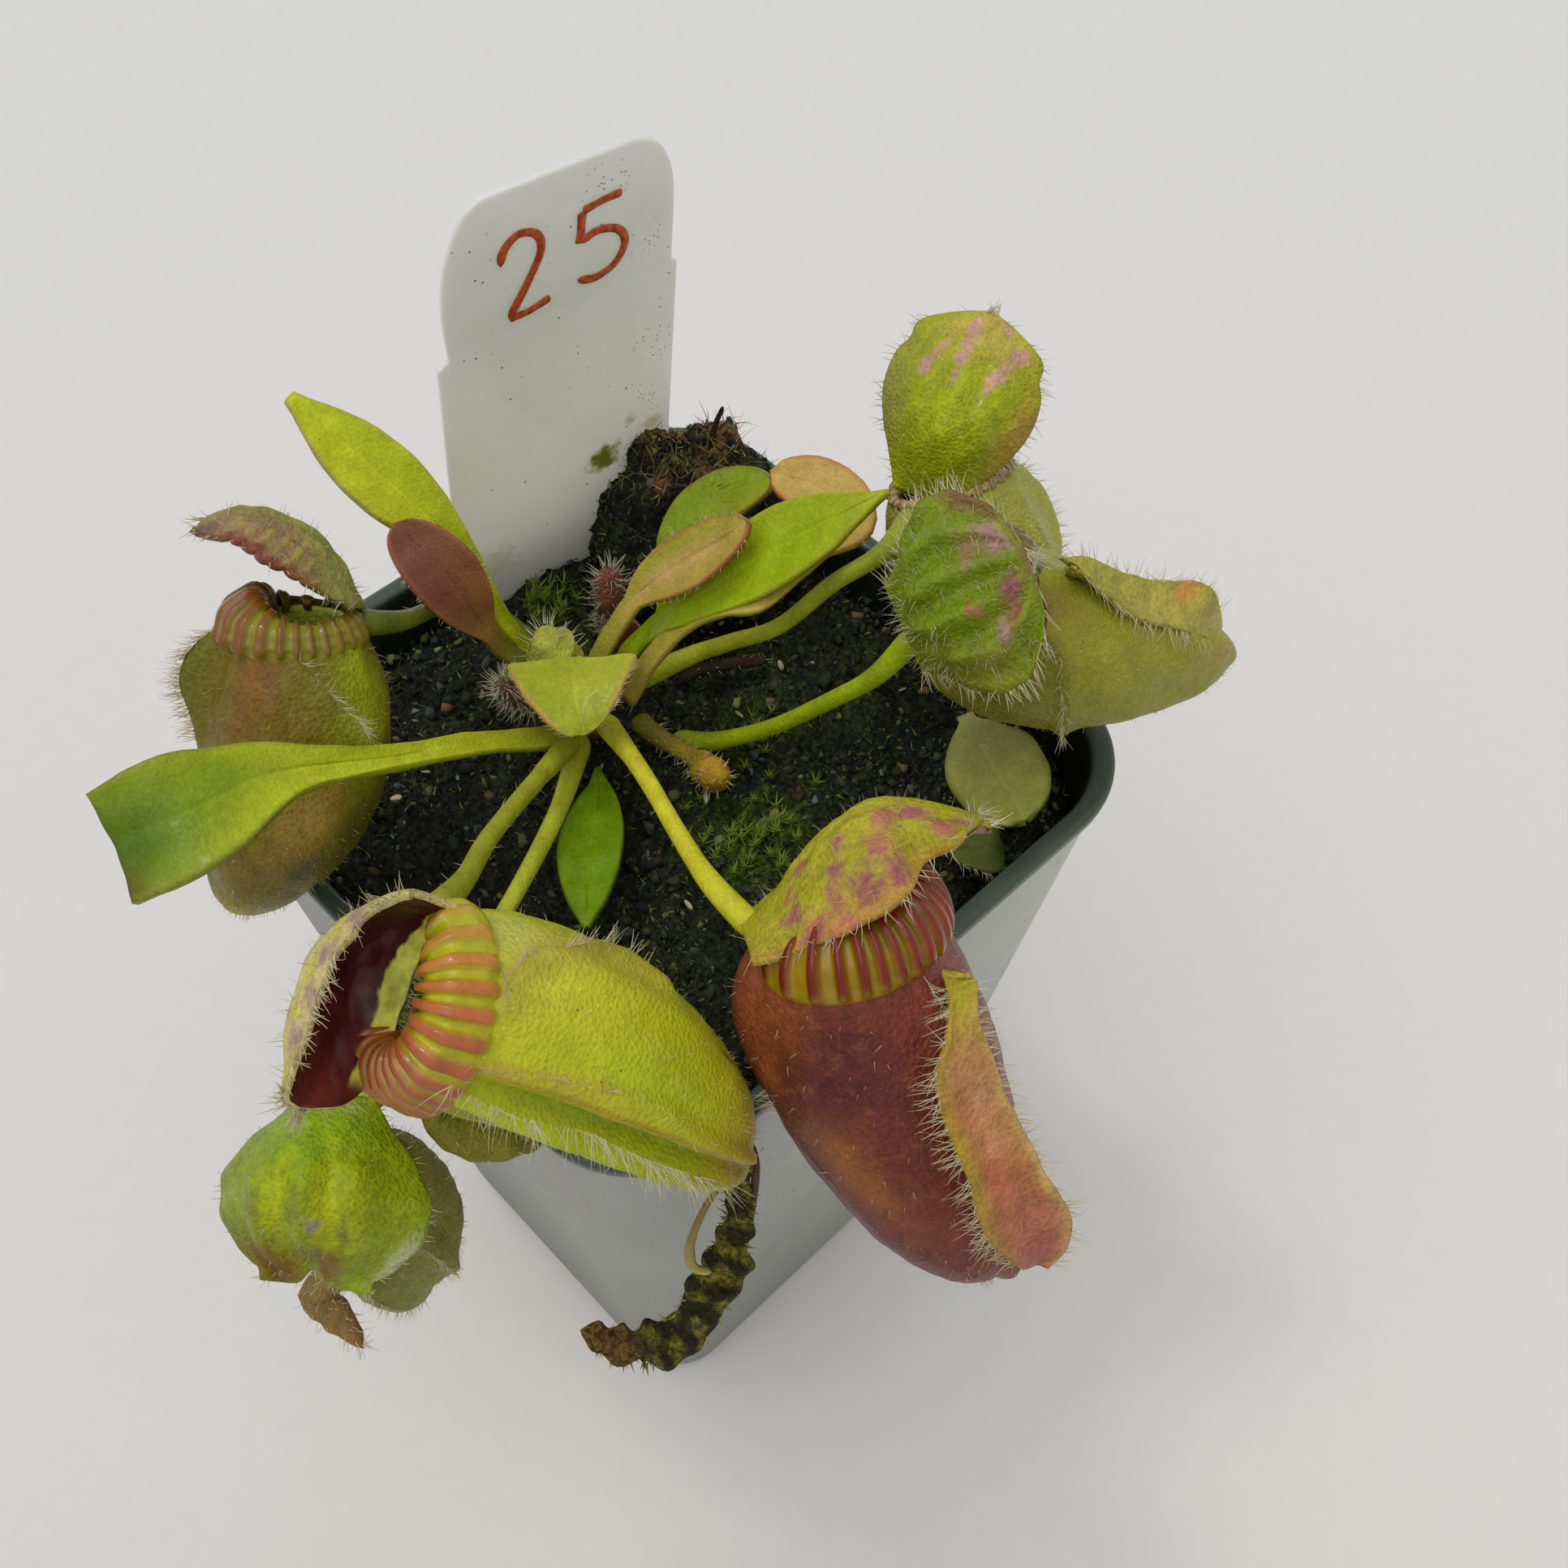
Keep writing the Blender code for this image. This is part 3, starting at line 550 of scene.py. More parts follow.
def pot_rule(u, v):
    z = np.interp(v, PATH_SHARES, PATH_HEIGHTS)
    xy = pot_ring(u, z, np.interp(v, PATH_SHARES, PATH_INSETS))
    xy *= np.where((v < 0.001) | (v > 0.999), 0.0, 1.0)[:, None]
    points = np.column_stack([xy, z])
    # painted reflection: the wall's silvery grey on the dark green plastic, painted lighter higher up
    tints = over(tone(114, 117, 110), (150, 152, 146), smooth(z, 5, 70)[:, None])
    # painted light: the face towards -y is lighter than the face towards -x
    tints = tints * (1 + 0.6 * (xy[:, :1] - xy[:, 1:]) / 57)
    tints = over(tints, (62, 76, 62), smooth(v, 0.57, 0.60)[:, None])
    # painted shade: the inside of the rim is darker than the plastic's own dark green
    tints = over(tints, (26, 32, 28), smooth(v, 0.675, 0.70)[:, None])
    size = np.abs(xy)
    # darker green streaks low on the two corners at the pot's outline
    corner = smooth(size.min(1) / np.maximum(size.max(1), 1), 0.66, 0.74) * (xy.prod(1) < 0)
    low_corner_dark = corner * smooth(ripple(points, 4.0, 31), 0.0, 0.3) * smooth(62 - z, 0, 12)
    low_corner_dark = 0.8 * (low_corner_dark * (1 - smooth(v, 0.5, 0.55)))[:, None]
    tints = over(tints, (48, 60, 52), low_corner_dark)
    return points, over(tints, (50, 62, 52), (v < 0.11)[:, None])


half_top = pot_ring(np.zeros(1), np.full(1, POT_HEIGHT), np.zeros(1)).max()
print("pot:", round(2 * half_top, 1), "mm across the rim,", POT_HEIGHT, "mm tall")

# %% [markdown]
# ## Pot finish
# The dark green plastic looks silvery in the light; that is a painted reflection in the tone laid
# on the pot's skin. It is hazed in clouds, scuffed along its walls, and marked with a few straight
# scratches and short dark dashes.

# %% Pot finish
def pot_finish():
    finish = Finish("pot_plastic", 0.36)
    colour = finish.tint()
    haze = finish.noise(14.0, detail=6.0, rough=0.62)
    colour = finish.scaled(colour, haze.step(0.25, 0.75) * 0.30 + 0.86)
    long = finish.place((1, 1, 0.25))
    scuffs = finish.noise(0.9, long, 5.0, 0.7).step(0.60, 0.72)
    colour = finish.mix(colour, tone(96, 104, 98), scuffs * 0.45)
    line = 1.0 - finish.cells(2.4, finish.place((1, 1, 0.04))).step(0.025, 0.05)
    line = line * finish.noise(8.0, detail=2.0).step(0.46, 0.56)
    colour = finish.mix(colour, tone(58, 66, 62), line * 0.7)
    cells = finish.cells(2.2, finish.place((1, 1, 0.5)))
    chosen = finish.noise(5.0, detail=2.0).step(0.50, 0.60)
    dashes = (1.0 - cells.step(0.06, 0.13)) * chosen
    colour = finish.mix(colour, tone(34, 42, 36), dashes * 0.85)
    green = finish.noise(7.0, finish.place((1, 1, 0.6)), 6.0, 0.7).step(0.66, 0.74)
    colour = finish.mix(colour, tone(48, 66, 42), green * 0.7)
    finish.give("Base Color", colour)
    finish.give("Roughness", haze * 0.25 + 0.24)
    finish.bump(finish.noise(0.7, long, 5.0) * 0.6 + haze, 0.10)
    return finish


POT_PLASTIC = pot_finish()
print("pot finish:", len(POT_PLASTIC.tree.nodes), "nodes")

# %% [markdown]
# ## Pot and its drains
# Four round drain holes go through the base. They are cut with a Boolean modifier, which is
# applied at once, so that the finished pot is a plain mesh.

# %% Pot and its drains
DRAIN_AT, DRAIN_RADIUS = 10.5, 2.5


def build_pot():
    pot = piece("square_pot", skin(136, 120, pot_rule), POT_PLASTIC, "pot_plastic", "pot")
    bm = bmesh.new()
    for x in (-DRAIN_AT, DRAIN_AT):
        for y in (-DRAIN_AT, DRAIN_AT):
            bmesh.ops.create_cone(bm, cap_ends=True, segments=28, radius1=DRAIN_RADIUS,
                                  radius2=DRAIN_RADIUS, depth=5.0,
                                  matrix=Matrix.Translation((x, y, 0.6)))
    drill = linked("drill", in_metres("drill", bm))
    step = pot.modifiers.new("drains", "BOOLEAN")
    step.operation, step.solver, step.object = "DIFFERENCE", "EXACT", drill
    bpy.context.view_layer.update()
    drilled = pot.evaluated_get(bpy.context.evaluated_depsgraph_get())
    pot.data = bpy.data.meshes.new_from_object(drilled)
    pot.modifiers.remove(step)
    bpy.data.objects.remove(drill, do_unlink=True)
    return pot


pot = build_pot()
print("pot:", len(pot.data.polygons), "faces")

# %% [markdown]
# ## Peat
# The pot is filled with black peat whose top is lumpy, wet and partly green with algae. The skin
# covers the top, goes down inside the pot's wall and closes below, and gives the big lumps.

# %% Peat
SOIL_TOP = 79.0
# where the peat is mossy: x, y, reach and how much
MOSSY = [(1.5, -9.6, 5.0, 1.0), (4.3, 18.4, 4.0, 0.8), (8.0, -2.0, 7.0, 0.35), (-8, 13, 4, 0.5),
         (18.0, -3.0, 6.0, 0.35), (-14, -14, 6, 0.2), (13.0, 5.0, 5.0, 0.3)]


def soil_height(x, y):
    """The height of the peat's top at a place."""
    spots = np.stack([x, y, 0 * x], 1)
    height = SOIL_TOP + 0.45 * (np.sin(0.53 * x + 1.3) * np.cos(0.41 * y)
                                + 0.6 * np.sin(0.23 * x - 0.57 * y))
    height += (0.35 * ripple(spots, 6, 1) + 0.30 * ripple(spots, 2.6, 2)
               + 0.34 * ripple(spots, 1.1, 3) + 0.20 * ripple(spots, 0.55, 4))
    return height


def greenness(x, y):
    """How mossy the peat is, from 0 to 1."""
    spots = np.stack([x, y, 0 * x], 1)
    cover = 0.0
    for at_x, at_y, reach, most in MOSSY:
        cover = np.maximum(cover, most * np.exp(-((x - at_x) ** 2 + (y - at_y) ** 2) / reach ** 2))
    return cover * smooth(ripple(spots, 3.0, 9), -0.7, 0.4)


def soil_rule(u, v):
    reach = np.clip(v / 0.86, 0.0, 1.0)
    down = np.clip((v - 0.86) / 0.07, 0.0, 1.0)
    back = np.clip((v - 0.93) / 0.07, 0.0, 1.0)
    z_edge = blend(SOIL_TOP, 1.6, down)
    xy = pot_ring(u, z_edge, np.full(len(u), 1.4)) * (reach * (1 - back))[:, None]
    z = np.where(v < 0.861, soil_height(*xy.T) - 1.1 * smooth(reach, 0.9, 1.0), z_edge)
    green = greenness(*xy.T)[:, None] * (v < 0.87)[:, None]
    return np.column_stack([xy, z]), over(tone(36, 38, 30), (74, 98, 20), green)


def peat_finish(name, dark):
    """Wet, crumbly peat or moss, with blue-grey glints and brown patches."""
    finish = Finish(name, 0.85, 0.0, 0.12)
    lumps = finish.noise(0.5, detail=6.0, rough=0.7)
    colour = finish.scaled(finish.tint(), lumps.step(0.35, 0.75) * 2.6 + 0.3)
    colour = finish.mix(colour, tone(74, 84, 92), finish.noise(0.35, detail=3.0).step(0.66, 0.74)
                        * 0.5)
    brown = finish.noise(1.6, detail=5.0, rough=0.7).step(0.58, 0.70)
    colour = finish.mix(colour, tone(*dark), brown * 0.6)
    finish.give("Base Color", colour)
    finish.give("Roughness", lumps * 0.5 + 0.45)
    finish.bump(lumps + finish.noise(0.22, detail=4.0) * 0.5, 0.30)
    return finish


PEAT = peat_finish("black_peat", (44, 38, 28))
soil = piece("peat", skin(200, 116, soil_rule), PEAT, "black_peat", "soil")
print("peat:", len(soil.data.polygons), "faces")

# %% [markdown]
# ## Moss mound
# Behind the plant, beside the label, the peat is heaped up under moss and dry fibres. It is a
# ball stretched into a heap, with bumps of four sizes, and it stays inside the pot's wall.

# %% Moss mound
def mound_height(x, y, z):
    """A unit ball's points stretched to the heap of moss behind the plant."""
    spots = np.stack([x, y, z], 1)
    bump = (1.0 + 0.05 * np.sin(7 * x + 2) * np.cos(6 * y + 3 * z) + 0.05 * ripple(spots, 0.5, 5)
            + 0.035 * ripple(spots, 0.2, 6) + 0.02 * ripple(spots, 0.09, 7))
    return np.stack([np.minimum(18.0 + 9.2 * bump * x, 27.0),
                     np.minimum(15.4 + 9.8 * bump * y, 27.0),
                     np.maximum(79.4, 80.0 + 13.4 * bump * z)], 1)


def build_mound():
    bm = bmesh.new()
    bmesh.ops.create_icosphere(bm, subdivisions=6, radius=1.0)
    ball = np.array([v.co[:] for v in bm.verts])
    points = mound_height(*ball.T)
    layer = bm.verts.layers.float_color.new("tint")
    green = smooth(ripple(points, 4.0, 11), 0.0, 0.9)[:, None] * 0.6
    brown = (smooth(points[:, 2], 91.6, 93.2) * smooth(ripple(points, 3, 12), -0.3, 0.6))[:, None]
    tints = over(over(tone(24, 27, 24), (52, 64, 26), green), (104, 78, 44), brown)
    for v, spot, colour in zip(bm.verts, points.tolist(), tints.tolist()):
        v.co, v[layer] = spot, (*colour, 1.0)
    bmesh.ops.remove_doubles(bm, verts=bm.verts, dist=0.02)
    return piece("moss_heap", bm, peat_finish("moss_peat", (96, 70, 38)), "moss_peat",
                 "moss_mound")


mound = build_mound()
print("mound:", len(mound.data.polygons), "faces")

# %% [markdown]
# ## Crumbs and grit
# Crumbs and pale grit lie on the peat and the mound, because a bumpy finish alone would look
# flat at the rim and against the stalks. A fixed seed sets the random places.

# %% Crumbs and grit
CRUMB = hair_finish("crumbs_and_moss", 0.8)


def scattered(count, seed):
    """Random places on the peat: x, y and z."""
    dice = default_rng(seed)
    xy = pot_ring(dice.uniform(0, 1, count), np.full(count, SOIL_TOP), np.full(count, 1.9))
    xy *= np.sqrt(dice.uniform(0, 1, count))[:, None]
    return np.column_stack([xy, soil_height(*xy.T)]), dice


def on_mound(count, seed):
    """Random places on the mound and the random numbers that follow."""
    dice = default_rng(seed)
    ways = unit(dice.normal(size=(count, 3)) + (0, 0, 0.6))
    ways[:, 2] = np.abs(ways[:, 2])
    return mound_height(*ways.T), dice


def strew_crumbs():
    spots, dice = scattered(4200, 21)
    heap, _ = on_mound(900, 22)
    spots = np.vstack([spots, heap])
    count = len(spots)
    size = dice.uniform(0.10, 0.50, count) * dice.uniform(0.6, 1.5, count)
    shade = 0.8 + 4.5 * dice.uniform(size=(count, 1)) ** 5
    kind = dice.uniform(size=(count, 1))
    tints = np.where(kind < 0.12, tone(72, 58, 36), tone(34, 36, 30))
    tints = np.where(kind > 0.66, tone(54, 64, 34), tints)
    tints = np.where(kind > 0.975, tone(70, 78, 82), tints)
    size[-len(heap):] *= 0.7
    spots[:, 2] += 0.1 * size
    copies("peat_crumbs", "crumb", spots, dice.normal(size=(count, 3)), size,
           size * dice.uniform(0.4, 1.0, count), tints * shade, CRUMB, "black_peat", lumpy=0.7)


def strew_grit():
    spots, dice = scattered(90, 23)
    size = dice.uniform(0.12, 0.30, 90)
    shade = dice.uniform(0.6, 1.3, 90)[:, None]
    spots[:, 2] += 0.25 * size
    copies("grit", "crumb", spots, dice.normal(size=(90, 3)), size, size * 0.8,
           tone(92, 100, 104) * shade, CRUMB, "black_peat", lumpy=0.3)
    return len(spots)


strew_crumbs()
print("grit:", strew_grit(), "grains")

# %% [markdown]
# ## Moss
# Root threads, a felt of tiny dark leaves and a few tufts of star moss cover the peat. They are
# thicker where the peat is greener, and dry and brown on top of the mound.

# %% Moss
# tufts of star moss: x, y, reach, stems and height
TUFTS = [(4.3, 20.4, 2.6, 26, 2.6), (1.0, -9.8, 4.2, 44, 0.9), (-3.0, 15.5, 2.0, 8, 1.2),
         (9.0, -3.5, 3.5, 10, 0.5)]
LEAFLETS_A_STEM = 14


def strew_threads():
    """Moss leaves and root threads: short, thin and pointing every way, greener on moss."""
    spots, dice = scattered(6400, 24)
    green = greenness(spots[:, 0], spots[:, 1])
    keep = dice.uniform(size=len(spots)) < 0.35 + 0.9 * green
    spots, green = spots[keep], green[keep]
    heap, _ = on_mound(900, 25)
    spots = np.vstack([spots, heap])
    green = np.concatenate([green, np.full(len(heap), 0.45)])
    count = len(spots)
    ways = dice.normal(size=(count, 3)) + (0, 0, 1.1)
    ways[:, 2] = np.abs(ways[:, 2])
    tints = tone(46, 48, 34) + green[:, None] * (tone(92, 122, 26) - tone(46, 48, 34))
    tints = np.where(spots[:, 2:] > 91.8, tone(128, 98, 52), tints)
    tints = tints * (0.4 + 3.4 * dice.uniform(size=(count, 1)) ** 3)
    copies("moss_threads", "hair", spots, ways, dice.uniform(0.5, 1.5, count),
           dice.uniform(0.03, 0.06, count), tints, CRUMB, "moss_peat", bend=0.35)


def strew_fibres():
    """Dry pale fibres on top of the mound."""
    heap, dice = on_mound(700, 29)
    heap = heap[heap[:, 2] > 91.3]
    count = len(heap)
    tints = tone(176, 138, 84) * dice.uniform(0.3, 1.1, (count, 1))
    copies("mound_fibres", "hair", heap, dice.normal(size=(count, 3)) + (0, 0, 0.4),
           dice.uniform(1.0, 2.8, count), 0.06, tints, CRUMB, "moss_peat", bend=0.5)


def strew_felt():
    """A felt of tiny dark moss leaves over the whole peat."""
    spots, dice = scattered(4200, 28)
    heap, _ = on_mound(500, 30)
    spots = np.vstack([spots, heap])
    count = len(spots)
    ways = dice.normal(size=(count, 3)) * (1, 1, 0.5) + (0, 0, 0.5)
    pale = dice.uniform(size=(count, 1)) ** 3
    tints = tone(52, 58, 34) + pale * (tone(130, 144, 60) - tone(52, 58, 34))
    copies("moss_felt", "leaflet", spots, ways, dice.uniform(0.35, 0.95, count), 0.14,
           tints, CRUMB, "moss_peat", bend=0.4)


def strew_tufts():
    """Star moss: leaflets fanned out from short upright stems."""
    roots, ways, lengths, tints = [], [], [], []
    dice = default_rng(26)
    for at_x, at_y, reach, stems, tall in TUFTS:
        for _ in range(stems):
            x, y = np.array([at_x, at_y]) + dice.normal(size=2) * reach * 0.5
            z = soil_height(np.array([x]), np.array([y]))[0]
            high = tall * dice.uniform(0.5, 1.1)
            for k in range(LEAFLETS_A_STEM):
                angle, share = 2.4 * k, k / LEAFLETS_A_STEM
                roots.append((x, y, z + high * k / LEAFLETS_A_STEM))
                ways.append((math.cos(angle), math.sin(angle), 0.6 + 0.09 * k))
                lengths.append(dice.uniform(0.9, 1.5))
                share += 0.1 * dice.normal()
                tints.append(blend(tone(58, 74, 20), tone(128, 150, 52), share))
    copies("star_moss", "leaflet", np.array(roots), ways, np.array(lengths), 0.11, tints, CRUMB,
           "moss_peat", bend=0.25)
    return len(roots)


strew_threads()
strew_fibres()
strew_felt()
print("star moss:", strew_tufts(), "leaflets")

# %% [markdown]
# ## Seed husks
# A few pale husks have dropped on the peat, and one hangs on a stalk.

# %% Seed husks
SEEDS = [(-9.3, -13.6, 84.9)]


def strew_seeds():
    spots, dice = scattered(22, 27)
    spots[:, 2] += 0.35
    spots = np.vstack([spots, np.array(SEEDS)])
    count = len(spots)
    ways = dice.normal(size=(count, 3)) * (1, 1, 0.35)
    tints = blend(tone(176, 150, 112), tone(214, 200, 170), dice.uniform(size=(count, 1)))
    copies("seed_husks", "flake", spots, ways, dice.uniform(0.42, 0.72, count),
           dice.uniform(0.38, 0.6, count), tints, CRUMB, "moss_peat")
    return count


print("husks:", strew_seeds())

# %% [markdown]
# ## Label
# The label is die-cut from thin white plastic, with two small notches and a long buried point.
# It leans forward. A plain number is written on it with a paint marker, as raised strokes.

# %% Label's place
LABEL_MIDDLE, LABEL_LEAN, LABEL_THICK = (-0.9, 21.8, 110.0), 7.9, 0.45
LABEL = (Matrix.Translation(LABEL_MIDDLE) @ Matrix.Rotation(math.radians(-9.2), 4, "Z")
         @ Matrix.Rotation(math.radians(LABEL_LEAN), 4, "X")
         @ Matrix.Rotation(math.radians(-3.4), 4, "Y"))


def on_label(across, up, proud=0.0):
    """A point of the label's front in the plant's frame."""
    return LABEL @ Vector((across, -LABEL_THICK / 2 - proud, up))


print("label's middle:", [round(v, 1) for v in on_label(10.0, 0.0)])

# %% [markdown]
# ## Label finish
# The plastic is thin enough to let some light through, and it is painted paler near the peat,
# as light coming through it where the plants shade it. It is stained green with algae low down
# and dotted with dirt, most of it near the far edge.

# %% Label finish
# stains: across, up, reach, tone and share; dirt: across, up and reach
STAINS = ((12.9, -19.6, 2.5, (108, 116, 16), 1.0), (15.6, -16.4, 1.0, (120, 122, 60), 0.5),
          (17.6, -18.0, 1.6, (140, 134, 84), 0.5), (1.0, -27.0, 4.0, (176, 182, 150), 0.5))
DIRT = ((14.6, 10.4, 3.0), (17.6, 3.4, 2.6), (18.2, -8.0, 3.4), (17.6, -14.6, 3.0))


def label_finish():
    finish = Finish("white_plastic", 0.42)
    finish.give("Subsurface Weight", 0.9).give("Subsurface Radius", (1.0, 1.0, 0.9))
    finish.give("Subsurface Scale", 0.002)
    blotch = finish.noise(9.0, detail=5.0)
    colour = finish.mix(tone(194, 194, 189), tone(202, 202, 198), blotch.step(0.3, 0.7))
    height = finish.node("SeparateXYZ", {0: finish.place()}, out=2)
    # painted light: the label is paler low down, near the peat
    colour = finish.mix(tone(246, 241, 222), colour, height.step(80, 112))
    for across, up, reach, shade, most in STAINS:
        ragged = finish.away(on_label(across, up)) + finish.noise(0.8) * reach * 1.3
        stain = (1.0 - ragged.step(reach * 0.9, reach * 1.5)) * most
        colour = finish.mix(colour, tone(*shade), stain)
    dirty = 0.0
    for across, up, reach in DIRT:
        near = 1.0 - finish.away(on_label(across, up)).step(reach * 0.3, reach)
        dirty = near + dirty
    fine = finish.specks(0.45, 0.16, 0.24, dirty)
    colour = finish.mix(colour, tone(84, 78, 52), fine * 0.8)
    chosen = finish.noise(4.0, detail=2.0).step(0.48, 0.62)
    colour = finish.mix(colour, tone(52, 46, 36), finish.specks(1.1, 0.07, 0.12, chosen) * 0.9)
    finish.give("Base Color", colour)
    finish.bump(finish.noise(0.5, detail=3.0), 0.02)
    return finish


WHITE_PLASTIC = label_finish()
print("label finish:", len(WHITE_PLASTIC.tree.nodes), "nodes")

# %% [markdown]
# ## Label shape
# The outline is one face of rounded corners, notches and a long buried point, pushed out to its
# thickness. Below the peat's top it is bent back upright, so that it stays inside the pot.

# %% Label shape
CORNER = [(20.0, 0.0), (20.3, 7.0), (19.9, 10.0), (18.9, 12.0), (17.2, 13.0)]
BROW = [(4.9, 13.6), (3.3, 12.7), (2.2, 10.9), (1.1, 8.0), (0.55, 4.0), (0.5, 0.0)]
FOOT = [(-0.5, -0.6), (-2.6, -32.0), (8.0, -72.0), (18.9, -32.0), (20.5, -0.4)]


def build_label():
    bm = bmesh.new()
    edge = [*FOOT, *even_route(CORNER, 20), *even_route(BROW, 20)]
    face = bm.faces.new([bm.verts.new((x, -LABEL_THICK / 2, z)) for x, z in edge])
    pushed = bmesh.ops.extrude_face_region(bm, geom=[face])["geom"]
    bmesh.ops.translate(bm, vec=(0, LABEL_THICK, 0),
                        verts=[g for g in pushed if isinstance(g, bmesh.types.BMVert)])
    bend = SOIL_TOP + 1.5 - LABEL_MIDDLE[2]
    bmesh.ops.bisect_plane(bm, geom=bm.verts[:] + bm.edges[:] + bm.faces[:],
                           plane_co=(0, 0, bend), plane_no=(0, 0, 1))
    slope = math.tan(math.radians(LABEL_LEAN)) + 9.4 / POT_HEIGHT
    for v in bm.verts:
        if v.co.z < bend:
            v.co.y -= slope * (bend - v.co.z)
    bmesh.ops.transform(bm, matrix=LABEL, verts=bm.verts)
    rim = [e for e in bm.edges if e.is_manifold and e.calc_face_angle(0) > 1.0]
    bmesh.ops.bevel(bm, geom=rim, offset=0.09, offset_type="OFFSET", segments=2, profile=0.5,
                    affect="EDGES", material=-1)
    bmesh.ops.triangulate(bm, faces=bm.faces)
    return piece("label", bm, WHITE_PLASTIC, "white_plastic", "plant_tag", sharp=35)


print("label:", len(build_label().data.polygons), "faces")

# %% [markdown]
# ## Rods
# Stalks, shoots and pen strokes are rods: closed skins round a route, round or flattened, whose
# thickness changes along the way. Their ends close in a dome.

# %% Rods
def rod(route, radii, around=12, along=48, flat=1.0, facing=(0, 0, 1), tints=None, lumpy=0.0):
    """A closed rod along a route, with a round or flattened section."""
    line = even_route(route, 80)
    ahead = unit(np.gradient(line, axis=0))

    def rule(u, v):
        middle, forward = on_route(line, v), unit(on_route(ahead, v))
        side = unit(np.cross(forward, np.array(facing, dtype=float)))
        top = np.cross(side, forward)
        radius = np.interp(v, np.linspace(0, 1, len(radii)), radii)
        radius *= np.sqrt(np.clip(np.minimum(v, 1 - v) * along / 2.5, 0.0, 1.0))
        angle = 2 * math.pi * u
        out = side * np.cos(angle)[:, None] + flat * top * np.sin(angle)[:, None]
        if lumpy:
            radius *= 1 + lumpy * ripple(middle + out * 0.8, 2.0, 31)
        points = middle + radius[:, None] * out
        return (points, tints(u, v, points)) if tints else points

    return skin(around, along, rule)


print("rods are closed skins of 12 by 48 faces, unless told otherwise")

# %% [markdown]
# ## Number
# The real label is marked by hand in orange ink. A plain number stands there, drawn as raised
# flat strokes that follow the label's face.

# %% Number
# each stroke is a route of (across, up) on the label
STROKES = [[(5.6, 6.9), (6.0, 8.3), (7.3, 9.2), (8.7, 8.5), (8.9, 6.8), (7.6, 4.4), (5.7, 1.6)],
           [(5.7, 1.6), (7.4, 1.5), (9.3, 1.9)],
           [(15.9, 8.9), (14.2, 8.9), (12.5, 8.7)], [(12.5, 8.7), (12.3, 7.2), (12.1, 5.8)],
           [(12.1, 5.8), (13.6, 6.3), (15.3, 5.6), (15.9, 4.1), (15.0, 2.4), (13.2, 1.8),
            (11.6, 2.4)]]


def write_number():
    finish = Finish("marker_ink", 0.4)
    streak = finish.noise(0.5, detail=3.0)
    finish.give("Base Color", finish.mix(tone(150, 58, 22), tone(206, 92, 44),
                                         streak.step(0.35, 0.65)))
    facing = LABEL.to_3x3() @ Vector((0, -1, 0))
    for count, stroke in enumerate(STROKES):
        route = [tuple(on_label(x, z, 0.02)) for x, z in stroke]
        bm = rod(route, [0.42, 0.36, 0.36, 0.44], 10, 40, 0.16, facing)
        piece(f"number_stroke_{count + 1}", bm, finish, "white_plastic")


write_number()
print(len(STROKES), "ink strokes")

# %% [markdown]
# ## The six traps
# Each trap is a leaf grown into a slipper-shaped pouch with a ribbed collar round its mouth and
# a domed lid. All six follow one rule: a ball opened at the mouth and stretched towards its toe,
# with its own size, turn, swellings, creases and tones. A pouch's skin is charted by the angle
# from its front, in degrees, and by how far a point is from the mouth (0) to the toe (1).
# Each trap says only what differs from a plain one.

# %% A plain trap
PLAIN_TRAP = dict(egg=0.0, uneven=1.0, late=1.6, mottle=None, dents=[], creases=[], rows=[])
PLAIN_COLLAR = dict(crowd=(2, 0), gaps=(0.3, 0, 0), relief=0.3, low=(110, 178, 0.55),
                    quiet=(180, 30, 0.2), shift=(0, 0, 0), patches=[])
PLAIN_LID = dict(start=0.34, blunt=0.015, crown=(0.85, 1.0), bite=None, curl=None,
                 lobes=(5.5, 0.10, 0.0), notch=0.0, lime=2.0, bumps=[], stains=[])
TRAPS = {}


def add_trap(name, **measures):
    """Lists a trap: a plain one, changed by its own measures."""
    trap = PLAIN_TRAP | measures
    trap["collar"] = PLAIN_COLLAR | measures["collar"]
    trap["lid"] = PLAIN_LID | measures["lid"]
    TRAPS[name] = trap
    print(name, "trap: cup", trap["cup"], "mm, with", trap["collar"]["ribs"], "ribs")


def windows(share, shades, places):
    """Patches (x, y, wide, tall) that take the given tones in turn."""
    return [(*place, shades[k % len(shades)], share) for k, place in enumerate(places)]


print("a plain lid:", PLAIN_LID)

# %% [markdown]
# ## The red trap
# The wine-red trap at the front right is the largest, with a wide collar of dark red ribs and a
# lid whose windows run from pink to plum.

